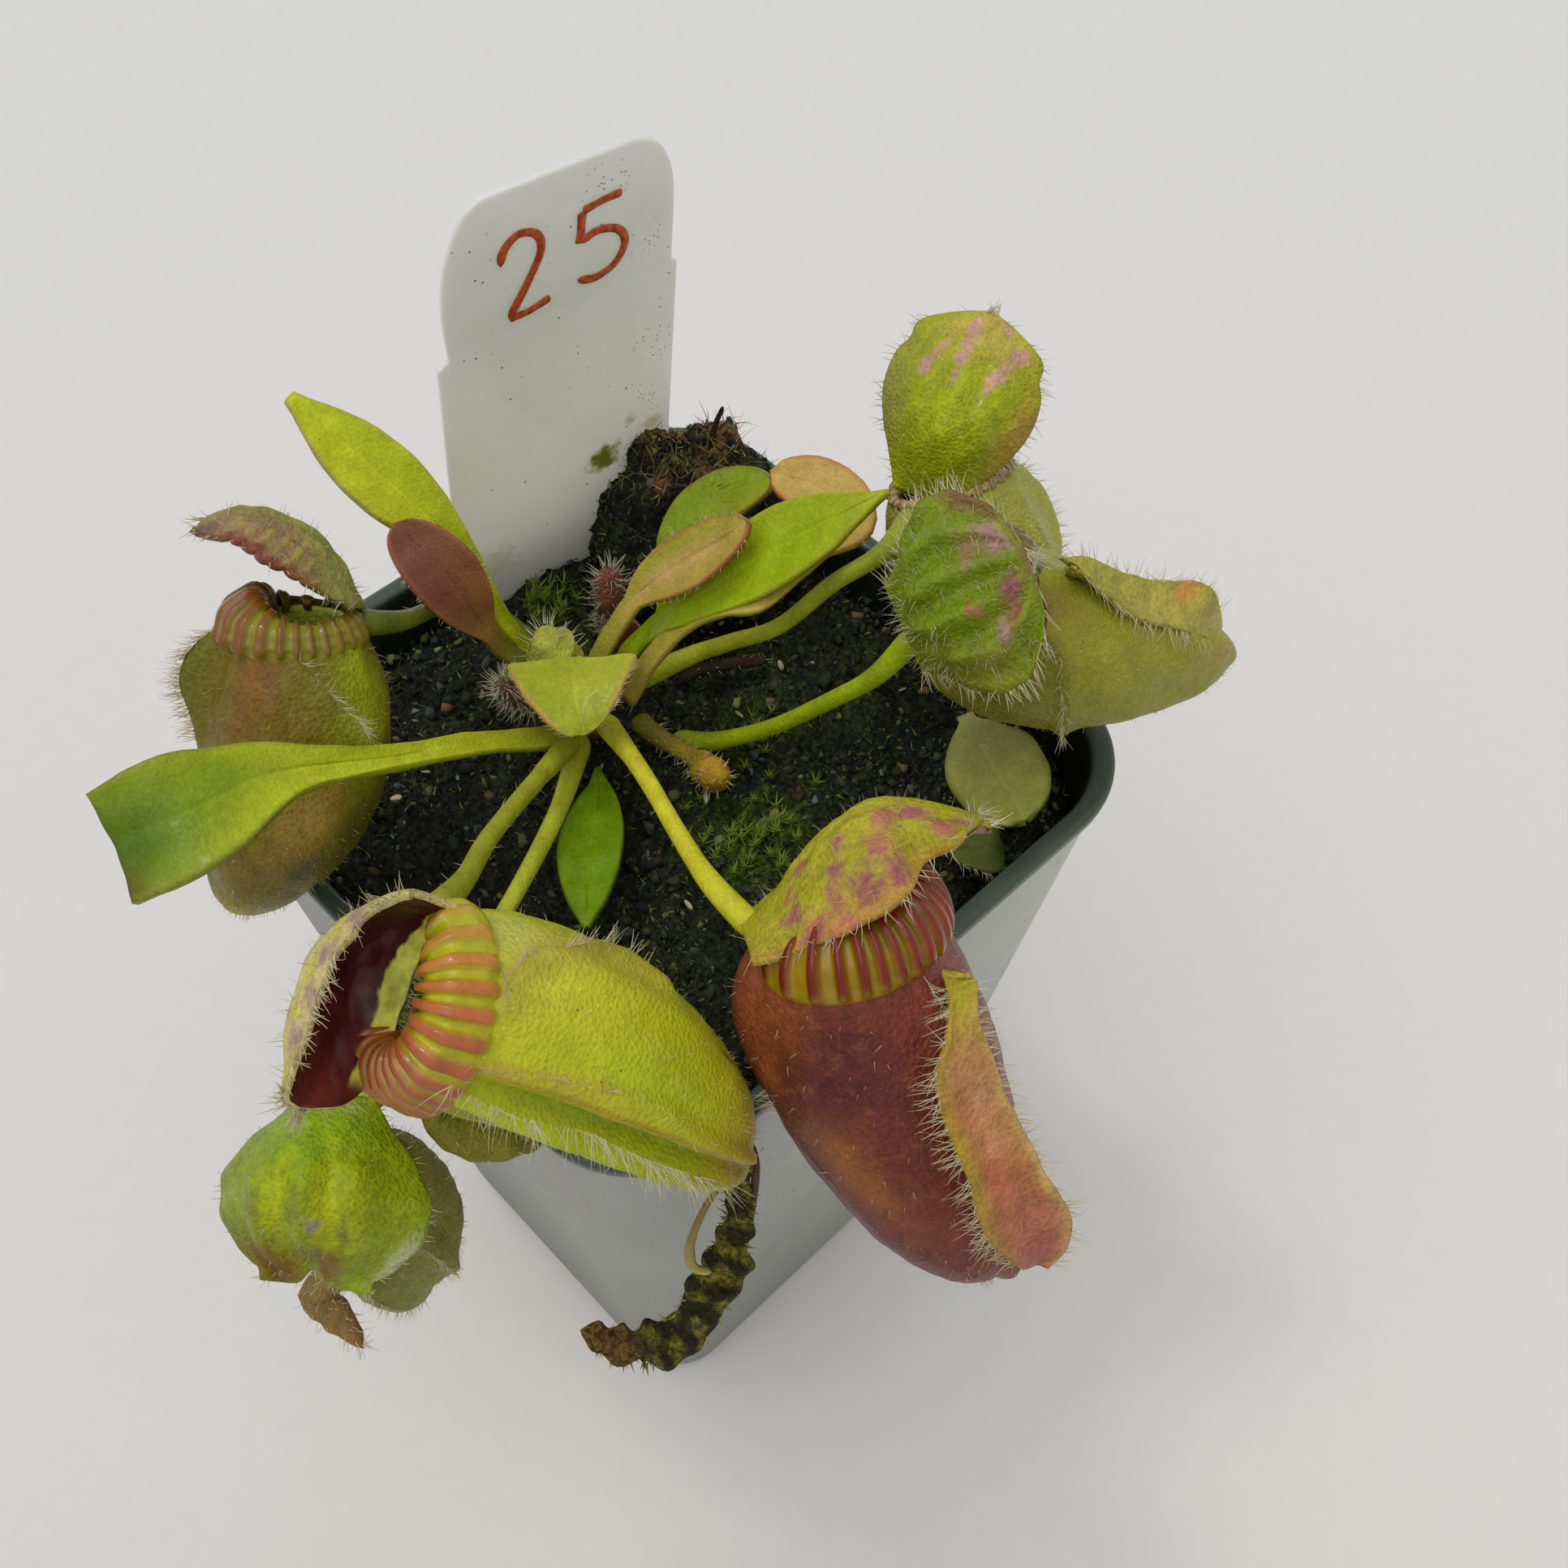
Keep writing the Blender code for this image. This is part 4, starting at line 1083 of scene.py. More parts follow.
# %% The red trap
PINK, PLUM = (172, 98, 90), (148, 74, 92)
add_trap(
    "red", at=(-9.1, -29.2, 99.7), turn=(-63, -20, -22), cup=(16.6, 15.2, 27.2), mouth=0.7, toe=6.3,
    egg=0.1, ridges=[(20, 1.3, 9), (-60, 0.8, 11)], mottle=((140, 84, 40), 0.4),
    rows=[(20, 0.03, 0.25, 50, 1.7), (138, 0.27, 0.33, 22, 1.5)], dents=[
        (-15, 0.45, 26, 0.35, -0.9), (120, 0.17, 12, 0.06, -0.5), (165, 0.16, 36, 0.15, 1.5),
        (75, 0.2, 12, 0.12, -0.4)],
    creases=[
        dict(route=[(-16.6, -29.4, 92.4), (-15.6, -31.6, 93.6), (-14.2, -33.4, 94.6)], wide=0.9,
        high=-0.35, shade=(150, 84, 46), most=0.6, hairs=0, long=1)],
    skin=(112, 50, 36), patches=[
        (136, 0.06, 40, 0.12, (146, 80, 44), 0.8), (60, 0.02, 40, 0.05, (122, 60, 34), 0.7),
        (75, 0.11, 18, 0.06, (76, 28, 28), 0.85), (112, 0.26, 20, 0.05, (88, 38, 38), 0.7),
        (84, 0.21, 24, 0.08, (74, 28, 32), 0.9), (56, 0.2, 14, 0.16, (88, 36, 38), 0.75),
        (66, 0.33, 12, 0.1, (92, 40, 36), 0.7), (98, 0.35, 16, 0.08, (136, 84, 36), 0.85),
        (84, 0.42, 10, 0.07, (140, 84, 38), 0.7), (74, 0.5, 10, 0.07, (124, 66, 36), 0.6),
        (118, 0.44, 16, 0.16, (84, 48, 48), 0.8), (100, 0.62, 20, 0.14, (86, 46, 48), 0.7),
        (40, 0.6, 26, 0.16, (112, 48, 50), 0.7), (128, 0.22, 10, 0.03, (150, 84, 44), 0.7),
        (0, 0.2, 22, 0.3, (160, 84, 74), 0.7), (60, 0.7, 40, 0.12, (104, 48, 46), 0.7)],
    inside=((96, 60, 34), (40, 22, 16)), coat=0.18, collar=dict(
        rise=3.5, inward=3.2, bulge=0.8, skirt=0.9, ribs=25, crowd=(14, -15), gaps=(0.32, 0.18, -60),
        relief=0.7, low=(72, 150, 0.75), rib=(112, 18, 6), gap=(150, 120, 16), claw=(84, 30, 18),
        patches=[(-10, 0.5, 45, 2, (140, 44, 14), 0.8)]),
    lid=dict(
        size=(16, 4), neck=(-14.1, -24.6, 100.1), tip=(1.2, -31.1, 104.5), face=(0.11, 0.73, 0.67),
        start=0.5, blunt=0.12, crown=(1.25, 1), bite=(0.72, 0.08, 0.45), skin=(160, 154, 36),
        under=(120, 52, 40), ribs=(5, 0.22), bumps=[(1, 0.9, 0.25, 0.12, 1.3), (1, 0.2, 0.6, 0.3, -1)],
        patches=[(1, 0.4, 0.2, 0.5, (184, 116, 70), 0.6)]
        + windows(0.9, (PINK, PLUM), [
        (0.07, 0.29, 0.12, 0.045), (0.6, 0.19, 0.12, 0.05), (0.8, 0.27, 0.1, 0.045),
        (0.53, 0.41, 0.12, 0.04), (0.74, 0.37, 0.12, 0.035), (0.78, 0.48, 0.13, 0.05),
        (0.56, 0.58, 0.16, 0.055), (0.82, 0.6, 0.1, 0.05), (0.3, 0.65, 0.15, 0.05),
        (0.34, 0.76, 0.12, 0.045), (0.61, 0.83, 0.16, 0.045), (0.45, 0.91, 0.16, 0.04),
        (0.94, 0.36, 0.07, 0.05), (0.94, 0.24, 0.08, 0.05), (0.32, 0.22, 0.07, 0.03),
        (0.3, 0.46, 0.09, 0.03)]),
        bristles=110, fuzz=70, hair=(0.9, 1.9)))

# %% [markdown]
# ## The front trap
# The lime trap in the middle lies on its side and shows its mouth. Its lid is curled round, so
# that its dark red lining and its pale purple-stained back are both seen.

# %% The front trap
add_trap(
    "front", at=(-34.1, -18.1, 106.8), turn=(214, 32, 44), cup=(14, 14.2, 26.6), mouth=0.74, toe=6.5,
    ridges=[(-69, 0.8, 6), (-42, 1.3, 7)], uneven=0.45, dents=[
        (-8, 0.35, 40, 0.3, -1.4), (-106, 0.1, 16, 0.07, 0.6), (-57, 0.4, 7, 0.35, -1.2),
        (-132, 0.22, 8, 0.2, 0.5)],
    creases=[
        dict(route=[
        (-34.9, -23.9, 109), (-32.9, -25.4, 107.6), (-30.2, -27.3, 105.2), (-28, -28.9, 102.7),
        (-26, -30.4, 99.8), (-25, -31.8, 97.1), (-23.3, -32.8, 93.8), (-21.8, -33.2, 91)],
        wide=0.55, high=0.65, shade=(166, 132, 60), most=0.75, hairs=70, long=0.9),
        dict(route=[
        (-35.5, -24, 108.4), (-34.4, -25.6, 106.8), (-33, -27.1, 105), (-30.8, -28.9, 103),
        (-29.3, -30.3, 100.4), (-27.8, -31.5, 97.9), (-25.8, -32.6, 94.5), (-23.7, -33, 90.9)],
        wide=0.6, high=0.9, shade=(186, 180, 60), most=0.6, hairs=170, long=2.5, way=(-0.9, -1, -0.5)),
        dict(route=[
        (-30.8, -23.2, 110.1), (-30, -22.3, 110.5), (-28.6, -22, 110), (-26.6, -22, 108.8),
        (-24.5, -21.8, 107), (-23.2, -21.6, 105.4), (-21.5, -22.4, 102.7), (-20.4, -24.2, 100.7)],
        wide=0.8, high=0.55, shade=(150, 124, 50), most=0.55, hairs=70, long=1.6)],
    skin=(186, 188, 30), patches=[
        (-100, 0.45, 36, 0.14, (158, 164, 20), 0.7), (-120, 0.1, 24, 0.12, (200, 198, 66), 0.6),
        # painted shade: the patch at -57 degrees darkens the channel between the lower ridges
        (-57, 0.35, 7, 0.5, (134, 156, 8), 0.9), (-20, 0.3, 20, 0.5, (112, 104, 34), 0.7),
        (-42, 0.35, 6, 0.4, (160, 182, 14), 0.8), (-88, 0.35, 12, 0.22, (170, 184, 22), 0.7),
        (-69, 0.35, 2.5, 0.6, (150, 112, 34), 0.7), (-106, 0.1, 12, 0.05, (184, 182, 44), 0.8),
        (-134, 0.62, 4, 0.03, (70, 40, 16), 0.9), (-150, 0.3, 16, 0.2, (172, 160, 70), 0.6),
        (-70, 0.75, 60, 0.14, (160, 112, 44), 0.75), (-160, 0.06, 24, 0.1, (196, 196, 110), 0.6)],
    inside=((226, 232, 110), (190, 190, 60)), coat=0.22, collar=dict(
        rise=1.7, inward=2.4, bulge=1, skirt=2.1, ribs=25, crowd=(5, 0), gaps=(0.3, 0.08, 0),
        shift=(0.4, 0.42, 0.41), relief=0.5, quiet=(125, 62, 0.8), rib=(190, 100, 50),
        gap=(176, 172, 22), claw=(176, 84, 40),
        patches=[(-175, 0.5, 55, 2, (176, 160, 40), 0.85), (-30, 0.5, 60, 2, (146, 82, 50), 0.8)]),
    lid=dict(
        size=(11.8, 4), neck=(-30.5, -16.2, 113.2), tip=(-42.4, -18.6, 106.2),
        face=(-0.09, 0.97, -0.21), start=0.5, skin=(188, 174, 112), under=(88, 28, 26), lime=0.68,
        ribs=(3, 0.12), stains=[
        (0.3, 0.9, 0.5, 0.2, (128, 50, 40), 0.7), (0, 0.2, 0.5, 0.3, (58, 20, 22), 0.7),
        (-0.2, 0.75, 0.2, 0.2, (150, 66, 56), 0.5)],
        curl=(98, 62), patches=windows(0.8, ((156, 118, 124), (186, 176, 50)), [
            (x, y, 0.14, 0.05) for x, y in (
                (-0.9, 0.2), (-0.7, 0.28), (-0.88, 0.38), (-0.68, 0.47), (-0.9, 0.55),
                (-0.7, 0.62), (-0.88, 0.7), (-0.65, 0.78), (-0.4, 0.3), (-0.42, 0.5),
                (-0.4, 0.68), (-0.85, 0.86))]),
        bristles=300, fuzz=120, hair=(0.8, 1.8)))

# %% [markdown]
# ## The lower left trap
# This green trap hangs below the front one, outside the pot. Only its lid and its belly show.

# %% The lower left trap
add_trap(
    "lower_left", at=(-41.1, -15, 86), turn=(220, 16, 17), cup=(10.2, 10.2, 13.2), mouth=0.84, toe=2.8,
    ridges=[(0, 1.4, 14), (-60, 0.6, 12)], dents=[(-80, 0.3, 40, 0.3, -1.2)],
    rows=[(-55, 0.1, 0.6, 70, 1.1), (-5, 0.1, 0.7, 60, 1.1), (30, 0.2, 0.8, 40, 1)],
    skin=(120, 116, 40), patches=[
        (-60, 0.15, 20, 0.12, (126, 122, 88), 0.6), (-20, 0.3, 40, 0.2, (104, 112, 44), 0.6),
        (0, 0.7, 60, 0.25, (110, 128, 30), 0.8)],
    inside=((80, 78, 36), (30, 26, 16)), coat=0.1, collar=dict(
        rise=1.4, inward=2, bulge=0.5, skirt=0.8, ribs=22, relief=0.34, rib=(120, 96, 60),
        gap=(110, 110, 50), claw=(96, 60, 40)),
    lid=dict(
        size=(14.2, 5.4), neck=(-38.2, -11.6, 91.3), tip=(-46.5, -18.2, 84.3),
        face=(-0.43, -0.34, 0.84), blunt=0.28, notch=0.1, skin=(130, 148, 12), under=(96, 70, 30),
        ribs=(4, 0.4), bumps=[(0, 0.98, 0.2, 0.08, 0.8)], patches=[
        (0.3, 0.16, 0.9, 0.14, (122, 160, 14), 0.7), (0.29, 0.5, 0.12, 0.3, (158, 164, 12), 0.7),
        (-0.22, 0.52, 0.12, 0.32, (168, 170, 14), 0.8), (-0.5, 0.5, 0.12, 0.28, (154, 160, 18), 0.6),
        (0.05, 0.5, 0.08, 0.1, (128, 118, 52), 0.7), (-0.1, 0.59, 0.05, 0.045, (150, 116, 140), 0.9),
        (0.5, 0.56, 0.08, 0.1, (120, 112, 50), 0.6), (-0.36, 0.6, 0.06, 0.12, (124, 100, 40), 0.7),
        (0.6, 0.9, 0.62, 0.17, (104, 66, 16), 0.9), (-0.24, 0.86, 0.26, 0.14, (112, 80, 22), 0.9),
        (0.9, 0.5, 0.15, 0.4, (126, 136, 70), 0.6), (-0.92, 0.8, 0.14, 0.14, (166, 164, 132), 0.8)],
        bristles=60, fuzz=120, hair=(0.4, 0.9)))

# %% [markdown]
# ## The left trap
# The olive and brown trap at the left stands upright. Its lid is raised and shows purple ridges.

# %% The left trap
SEAMS = (0.30, 0.39, 0.48, 0.57, 0.66, 0.75)
add_trap(
    "left", at=(-21.1, 13.1, 104.2), turn=(136, -3, 32), cup=(13.4, 12.7, 22.6), mouth=0.63, late=3,
    toe=4.6, ridges=[(-12, 0.4, 10), (120, 0.6, 12)], dents=[(-12, 0.13, 7, 0.14, 2.4)],
    rows=[(-12, 0.02, 0.32, 170, 1.6)], creases=[
        dict(route=[
        (-23.9, 8.2, 106.4), (-23.5, 7, 105.2), (-23.2, 5.7, 103.4), (-22.6, 4.9, 101.8),
        (-22.2, 4.9, 99)],
        wide=0.7, high=0.5, shade=(140, 136, 60), most=0.6, hairs=50, long=1.7)],
    skin=(106, 92, 22), patches=[
        (-12, 0.14, 7, 0.16, (92, 98, 24), 0.8), (-76, 0.1, 16, 0.1, (124, 78, 34), 0.8),
        (-60, 0.25, 12, 0.3, (120, 78, 30), 0.6), (-150, 0.2, 24, 0.3, (150, 160, 18), 0.9),
        (-104, 0.14, 12, 0.06, (110, 106, 18), 0.7), (-114, 0.44, 24, 0.12, (176, 142, 60), 0.85),
        (-150, 0.5, 18, 0.1, (84, 74, 34), 0.8), (-100, 0.7, 30, 0.1, (120, 104, 40), 0.8),
        (-84, 0.86, 60, 0.1, (160, 148, 36), 0.8), (-120, 0.6, 14, 0.07, (74, 66, 34), 0.7)],
    inside=((226, 240, 90), (200, 216, 70)), coat=0.15, collar=dict(
        rise=2.2, inward=2, bulge=1.2, skirt=1.3, ribs=21, crowd=(8, -150), gaps=(0.42, 0.16, 0),
        low=(20, 130, 0.6), relief=0.55, quiet=(100, 60, 0.5), rib=(116, 84, 16), gap=(130, 122, 14),
        claw=(96, 62, 16), patches=[(-30, 0.6, 40, 2, (128, 66, 28), 0.85)]),
    lid=dict(
        size=(10.4, 3), neck=(-17.5, 10.5, 105), tip=(-22.1, 20.9, 109.1), face=(0.77, 0.24, 0.6),
        blunt=0.1, crown=(1.1, 0.6), skin=(128, 128, 58), under=(112, 40, 40), ribs=(6, 0.2),
        bumps=[(-0.9, 0.95, 0.4, 0.12, -0.8)] + [(-0.85, y, 0.3, 0.02, 0.3) for y in SEAMS],
        patches=[(-0.75, 0.6, 0.45, 0.36, (142, 92, 84), 0.75)]
        + [(-0.72, y, 0.32, 0.022, (150, 140, 60), 0.7) for y in SEAMS]
        + [
        (-1, 0.6, 0.1, 0.5, (118, 48, 40), 0.8), (-0.9, 0.93, 0.3, 0.06, (90, 34, 34), 0.8),
        (0.2, 0.5, 0.3, 0.4, (116, 128, 44), 0.5)],
        bristles=80, fuzz=110, hair=(0.7, 1.7)))

# %% [markdown]
# ## The top right trap
# The small trap at the back right is seen from behind its lid, which is yellow-green with pink
# windows in two rows.

# %% The top right trap
add_trap(
    "top_right", at=(28.1, -4.3, 97.5), turn=(-12, -2, -30), cup=(11.4, 13.4, 14.4), mouth=0.76,
    toe=1.6, ridges=[(8, 1.5, 14), (62, 0.9, 12)],
    rows=[(8, 0.05, 0.9, 60, 1.5), (62, 0.1, 0.9, 40, 1.3)], uneven=0.6, skin=(164, 164, 52),
    patches=[(110, 0.2, 40, 0.3, (142, 140, 60), 0.5), (70, 0.25, 14, 0.3, (164, 158, 84), 0.6)],
    inside=((120, 118, 60), (60, 56, 26)), coat=0.15, collar=dict(
        rise=0.9, inward=1.4, bulge=0.35, skirt=0.5, ribs=28, rib=(150, 112, 62), gap=(190, 176, 110),
        claw=(110, 70, 46)),
    lid=dict(
        size=(12.4, 4.6), neck=(24, -5, 98.7), tip=(34.1, -1.6, 109.4), face=(-0.56, -0.32, 0.77),
        start=0.42, skin=(146, 156, 14), under=(150, 110, 60), ribs=(4, 0.22), lobes=(4.5, 0.4, 0.66),
        patches=[
        (0.1, 0.95, 0.9, 0.22, (184, 160, 76), 0.8), (0.9, 0.45, 0.2, 0.24, (168, 130, 50), 0.8),
        (0.2, 0.5, 0.4, 0.2, (164, 170, 30), 0.6), (-0.9, 0.5, 0.25, 0.3, (142, 130, 62), 0.6)]
        + windows(0.85, ((194, 138, 136),), [
        (-0.5, 0.64, 0.07, 0.07), (-0.44, 0.74, 0.06, 0.06), (-0.09, 0.65, 0.06, 0.05),
        (-0.1, 0.74, 0.08, 0.06), (-0.14, 0.84, 0.1, 0.06), (-0.2, 0.92, 0.14, 0.05),
        (0.33, 0.63, 0.08, 0.04), (0.41, 0.7, 0.09, 0.045), (0.5, 0.76, 0.09, 0.04),
        (0.64, 0.83, 0.11, 0.035), (0.76, 0.85, 0.08, 0.03), (0.56, 0.94, 0.08, 0.025)]),
        bristles=120, fuzz=60, hair=(0.5, 1.4)))

# %% [markdown]
# ## The right trap
# The last trap points away to the right. Its closed lid is ridged, very hairy and green, and its
# pouch is wide and olive.

# %% The right trap
add_trap(
    "right", at=(16.6, -16.1, 102.8), turn=(-27, -36, -10), cup=(16.4, 15.2, 21.6), mouth=0.54,
    toe=10.2, egg=0.26, ridges=[(24, 0.8, 16)],
    dents=[(80, 0.5, 30, 0.2, -0.8), (-5, 0.2, 22, 0.24, -1.2), (-45, 0.28, 45, 0.32, -2)],
    creases=[
        dict(route=[
        (16, -23.8, 104.1), (16.6, -24.8, 102.9), (16.4, -25.5, 100.9), (16.5, -26, 98.7),
        (17, -26, 95.6), (18.3, -25.9, 93.1)],
        wide=0.5, high=0.9, shade=(112, 78, 44), most=0.7, hairs=60, long=1.5)],
    uneven=0.6, skin=(140, 138, 30), patches=[
        (95, 0.12, 24, 0.14, (104, 102, 34), 0.8), (110, 0.16, 26, 0.22, (104, 108, 26), 0.8),
        (130, 0.25, 24, 0.3, (122, 118, 40), 0.7), (60, 0.25, 16, 0.2, (146, 142, 46), 0.7),
        (45, 0.08, 14, 0.08, (116, 96, 44), 0.7), (60, 0.5, 24, 0.14, (150, 148, 60), 0.5),
        (30, 0.7, 30, 0.12, (166, 140, 72), 0.6)],
    inside=((120, 104, 50), (60, 50, 26)), coat=0.15, collar=dict(
        rise=1.1, inward=1.6, bulge=0.35, skirt=0.6, ribs=26, rib=(112, 88, 40), gap=(112, 104, 34),
        claw=(96, 70, 40)),
    lid=dict(
        size=(14.6, 3.6), neck=(9.8, -15.8, 103.4), tip=(14.8, -21.9, 111.5), face=(-0.86, -0.03, 0.51),
        start=0.45, skin=(110, 128, 20), under=(116, 76, 50), ribs=(5, 0.6),
        patches=[
        (-0.6, 0.45, 0.4, 0.4, (116, 138, 22), 0.6), (0.8, 0.45, 0.3, 0.3, (128, 124, 40), 0.6),
        (-0.48, 0.88, 0.22, 0.08, (168, 118, 124), 0.9), (-0.36, 0.74, 0.2, 0.06, (150, 120, 82), 0.9),
        (0.2, 0.88, 0.18, 0.045, (136, 70, 84), 0.9), (0.44, 0.83, 0.16, 0.045, (150, 84, 80), 0.9),
        (0.53, 0.74, 0.12, 0.04, (166, 122, 120), 0.9), (0.22, 0.68, 0.09, 0.03, (150, 96, 62), 0.9),
        (-0.95, 0.8, 0.1, 0.2, (128, 84, 62), 0.9), (-0.8, 0.82, 0.03, 0.2, (120, 76, 60), 0.9),
        (0.1, 0.99, 0.9, 0.03, (128, 92, 62), 0.8)],
        bristles=210, fuzz=420, hair=(0.9, 1.9)))

# %% [markdown]
# ## Pouches
# A pouch is one closed skin: from the toe up the outside to the mouth, over the rim and down the
# lining. Its swellings are moved out along the skin, and creases follow routes on its surface.
# The tones are laid as soft patches, and the lining's tones are painted light and shade.

# %% Pouch shape
def turned(angles):
    """Facing, nod and roll in degrees: roll first, then nod, then facing."""
    face, nod, roll = (math.radians(a) for a in angles)
    return (Matrix.Rotation(face - math.pi / 2, 3, "Z") @ Matrix.Rotation(-nod, 3, "X")
            @ Matrix.Rotation(roll, 3, "Y"))


def apart(degrees, middle):
    """The turn from one angle to another, the short way round."""
    return (degrees - middle + 180.0) % 360.0 - 180.0


def pouch(trap, degrees, along, inset=0.0):
    """Points of a pouch and the way out of it at each, in the plant's frame."""
    width, depth, length = (s - 2 * inset for s in trap["cup"])
    angle, first = np.radians(degrees), math.asin(trap["mouth"])
    polar = first + (math.pi - first) * along
    reach = np.sin(polar) * (1 + trap["egg"] * np.cos(polar))
    drop = (math.cos(first) - np.cos(polar)) / (1 + math.cos(first))
    swing = trap["toe"] * drop ** trap["late"]
    points = np.stack([width / 2 * reach * np.sin(angle),
                       depth / 2 * reach * np.cos(angle) + swing, -length * drop], 1)
    core = np.stack([0 * drop, 0.9 * swing, -length * np.minimum(drop, 0.7)], 1)
    out = unit(points - core)
    turn = np.array(turned(trap["turn"]))
    wing = np.where(along < 0.95, np.sin(np.pi * np.minimum(1, along * 1.05)).clip(0) ** 0.6, 0)
    swell = 0.10 * ripple(points, 5, 41) + 0.045 * ripple(points, 1.8, 42)
    for at, high, half in trap["ridges"]:
        swell += wing * high * np.exp(-(apart(degrees, at) / half) ** 2)
    for at, where, wide, tall, high in trap["dents"]:
        swell += high * np.exp(-(apart(degrees, at) / wide) ** 2 - ((along - where) / tall) ** 2)
    points += out * (swell * smooth(1.0 - along, 0.0, 0.04))[:, None]
    points, out = points @ turn.T + trap["at"], out @ turn.T
    for crease in trap["creases"]:
        near = np.exp(-(from_route(points, crease["route"]) / crease["wide"]) ** 2)
        points += out * (crease["high"] * near)[:, None]
    return points, out


def from_route(points, route):
    """How far each point is from a route."""
    line = even_route(route, 40)
    return np.sqrt(((points[:, None] - line[None]) ** 2).sum(2).min(1))


def pouch_rule(trap):
    def rule(u, v):
        degrees = 360.0 * u - 180.0
        outer = np.clip(1 - v / 0.74, 0, 1)
        inner = np.clip((v - 0.78) / 0.22, 0, 1)
        within = (v > 0.76)[:, None]
        points = np.where(within, pouch(trap, degrees, inner, 0.8)[0],
                          pouch(trap, degrees, outer)[0])
        tints = painted(trap["skin"], degrees, outer, trap["patches"], 360.0)
        for crease in trap["creases"]:
            near = np.exp(-(from_route(points, crease["route"]) / (0.9 * crease["wide"])) ** 2)
            tints += (crease["most"] * near)[:, None] * (tone(*crease["shade"]) - tints)
        # painted light and shade: pale linings are painted bright, as light through the thin walls, and
        # every lining darkens deeper in the pouch as painted shade
        top, low = (tone(*t) for t in trap["inside"])
        lining = top + smooth(inner, 0.0, 0.6)[:, None] * (low - top)
        return points, np.where(within, lining, tints)
    return rule


print("the red toe is at", pouch(TRAPS["red"], np.zeros(1), np.ones(1))[0].round(1).tolist())

# %% [markdown]
# ## Living skin
# One finish serves every living part. Over the painted tone come fine cells, clouds, lighter
# dots that are partly the skin's own and partly painted sparkle, and a few dark specks, and the
# same cells and clouds make the skin velvety.

# %% Living skin
def flesh(name, coat=0.15, cells=0.32, roughness=0.42, uneven=1.0, mottle=None):
    """A finish of living skin; mottle is a second tone and its share."""
    finish = Finish(name, roughness, coat, 0.12)
    colour = finish.tint()
    cloud = finish.noise(1.7, detail=5.0, rough=0.6)
    grain = finish.cells(cells)
    fine = finish.noise(0.45, detail=3.0, rough=0.7)
    shade = cloud.step(0.25, 0.75) * 0.38 + grain * 0.30 + fine.step(0.3, 0.7) * 0.26 - 0.42
    if mottle:
        blot = finish.noise(1.5, detail=6.0, rough=0.75).step(0.50, 0.66)
        colour = finish.mix(colour, tone(*mottle[0]), blot * mottle[1])
    colour = finish.scaled(colour, shade * uneven + 1.0)
    # lighter dots: partly the skin's own pale dots, partly painted sparkle
    pale_dots_and_sparkle = finish.specks(0.55, 0.10, 0.22, finish.noise(1.3).step(0.48, 0.62))
    colour = finish.mix(colour, finish.scaled(colour, 1.7), pale_dots_and_sparkle * 0.6)
    chosen = finish.noise(2.4, detail=2.0).step(0.52, 0.66)
    colour = finish.mix(colour, tone(70, 48, 26), finish.specks(0.85, 0.06, 0.13, chosen) * 0.7)
    finish.give("Base Color", colour)
    finish.give("Roughness", cloud * 0.2 + (roughness - 0.1))
    finish.bump(grain * 0.7 + cloud * 0.8 + finish.noise(0.2) * 0.4, 0.16)
    return finish


for name, trap in TRAPS.items():
    finish = flesh(name + "_skin", trap["coat"], uneven=trap["uneven"], mottle=trap["mottle"])
    made = piece(name + "_pouch", skin(120, 80, pouch_rule(trap)), finish, name + "_skin",
                 name + "_cup")
    print(made.name, len(made.data.polygons), "faces")

# %% [markdown]
# ## Collars
# The mouth is edged by glossy ribs that run over the rim and end inside as downward claws, with
# a sunk groove between each two. One ribbon follows the rim all round. Its section is a smooth
# hook; ribs raise it, and the grooves end sooner than the ribs, which leaves the claws free.

# %% Collars
def collar_hook(look):
    """A collar's section as (out, up), from its skirt over the rim to the claws' tips."""
    rise, inward, bulge, skirt = (look[k] for k in ("rise", "inward", "bulge", "skirt"))
    return even_route([(-0.25, -skirt - 0.25), (bulge * 0.55, -skirt + 0.4),
                       (bulge, 0.1 * rise - 0.45 * skirt), (bulge * 0.75, 0.45 * rise),
                       (-0.12 * inward, 0.86 * rise), (-0.45 * inward, rise),
                       (-0.80 * inward, 0.84 * rise), (-inward, 0.80 * rise - 1.0),
                       (-1.02 * inward, 0.80 * rise - 2.2)], 60)


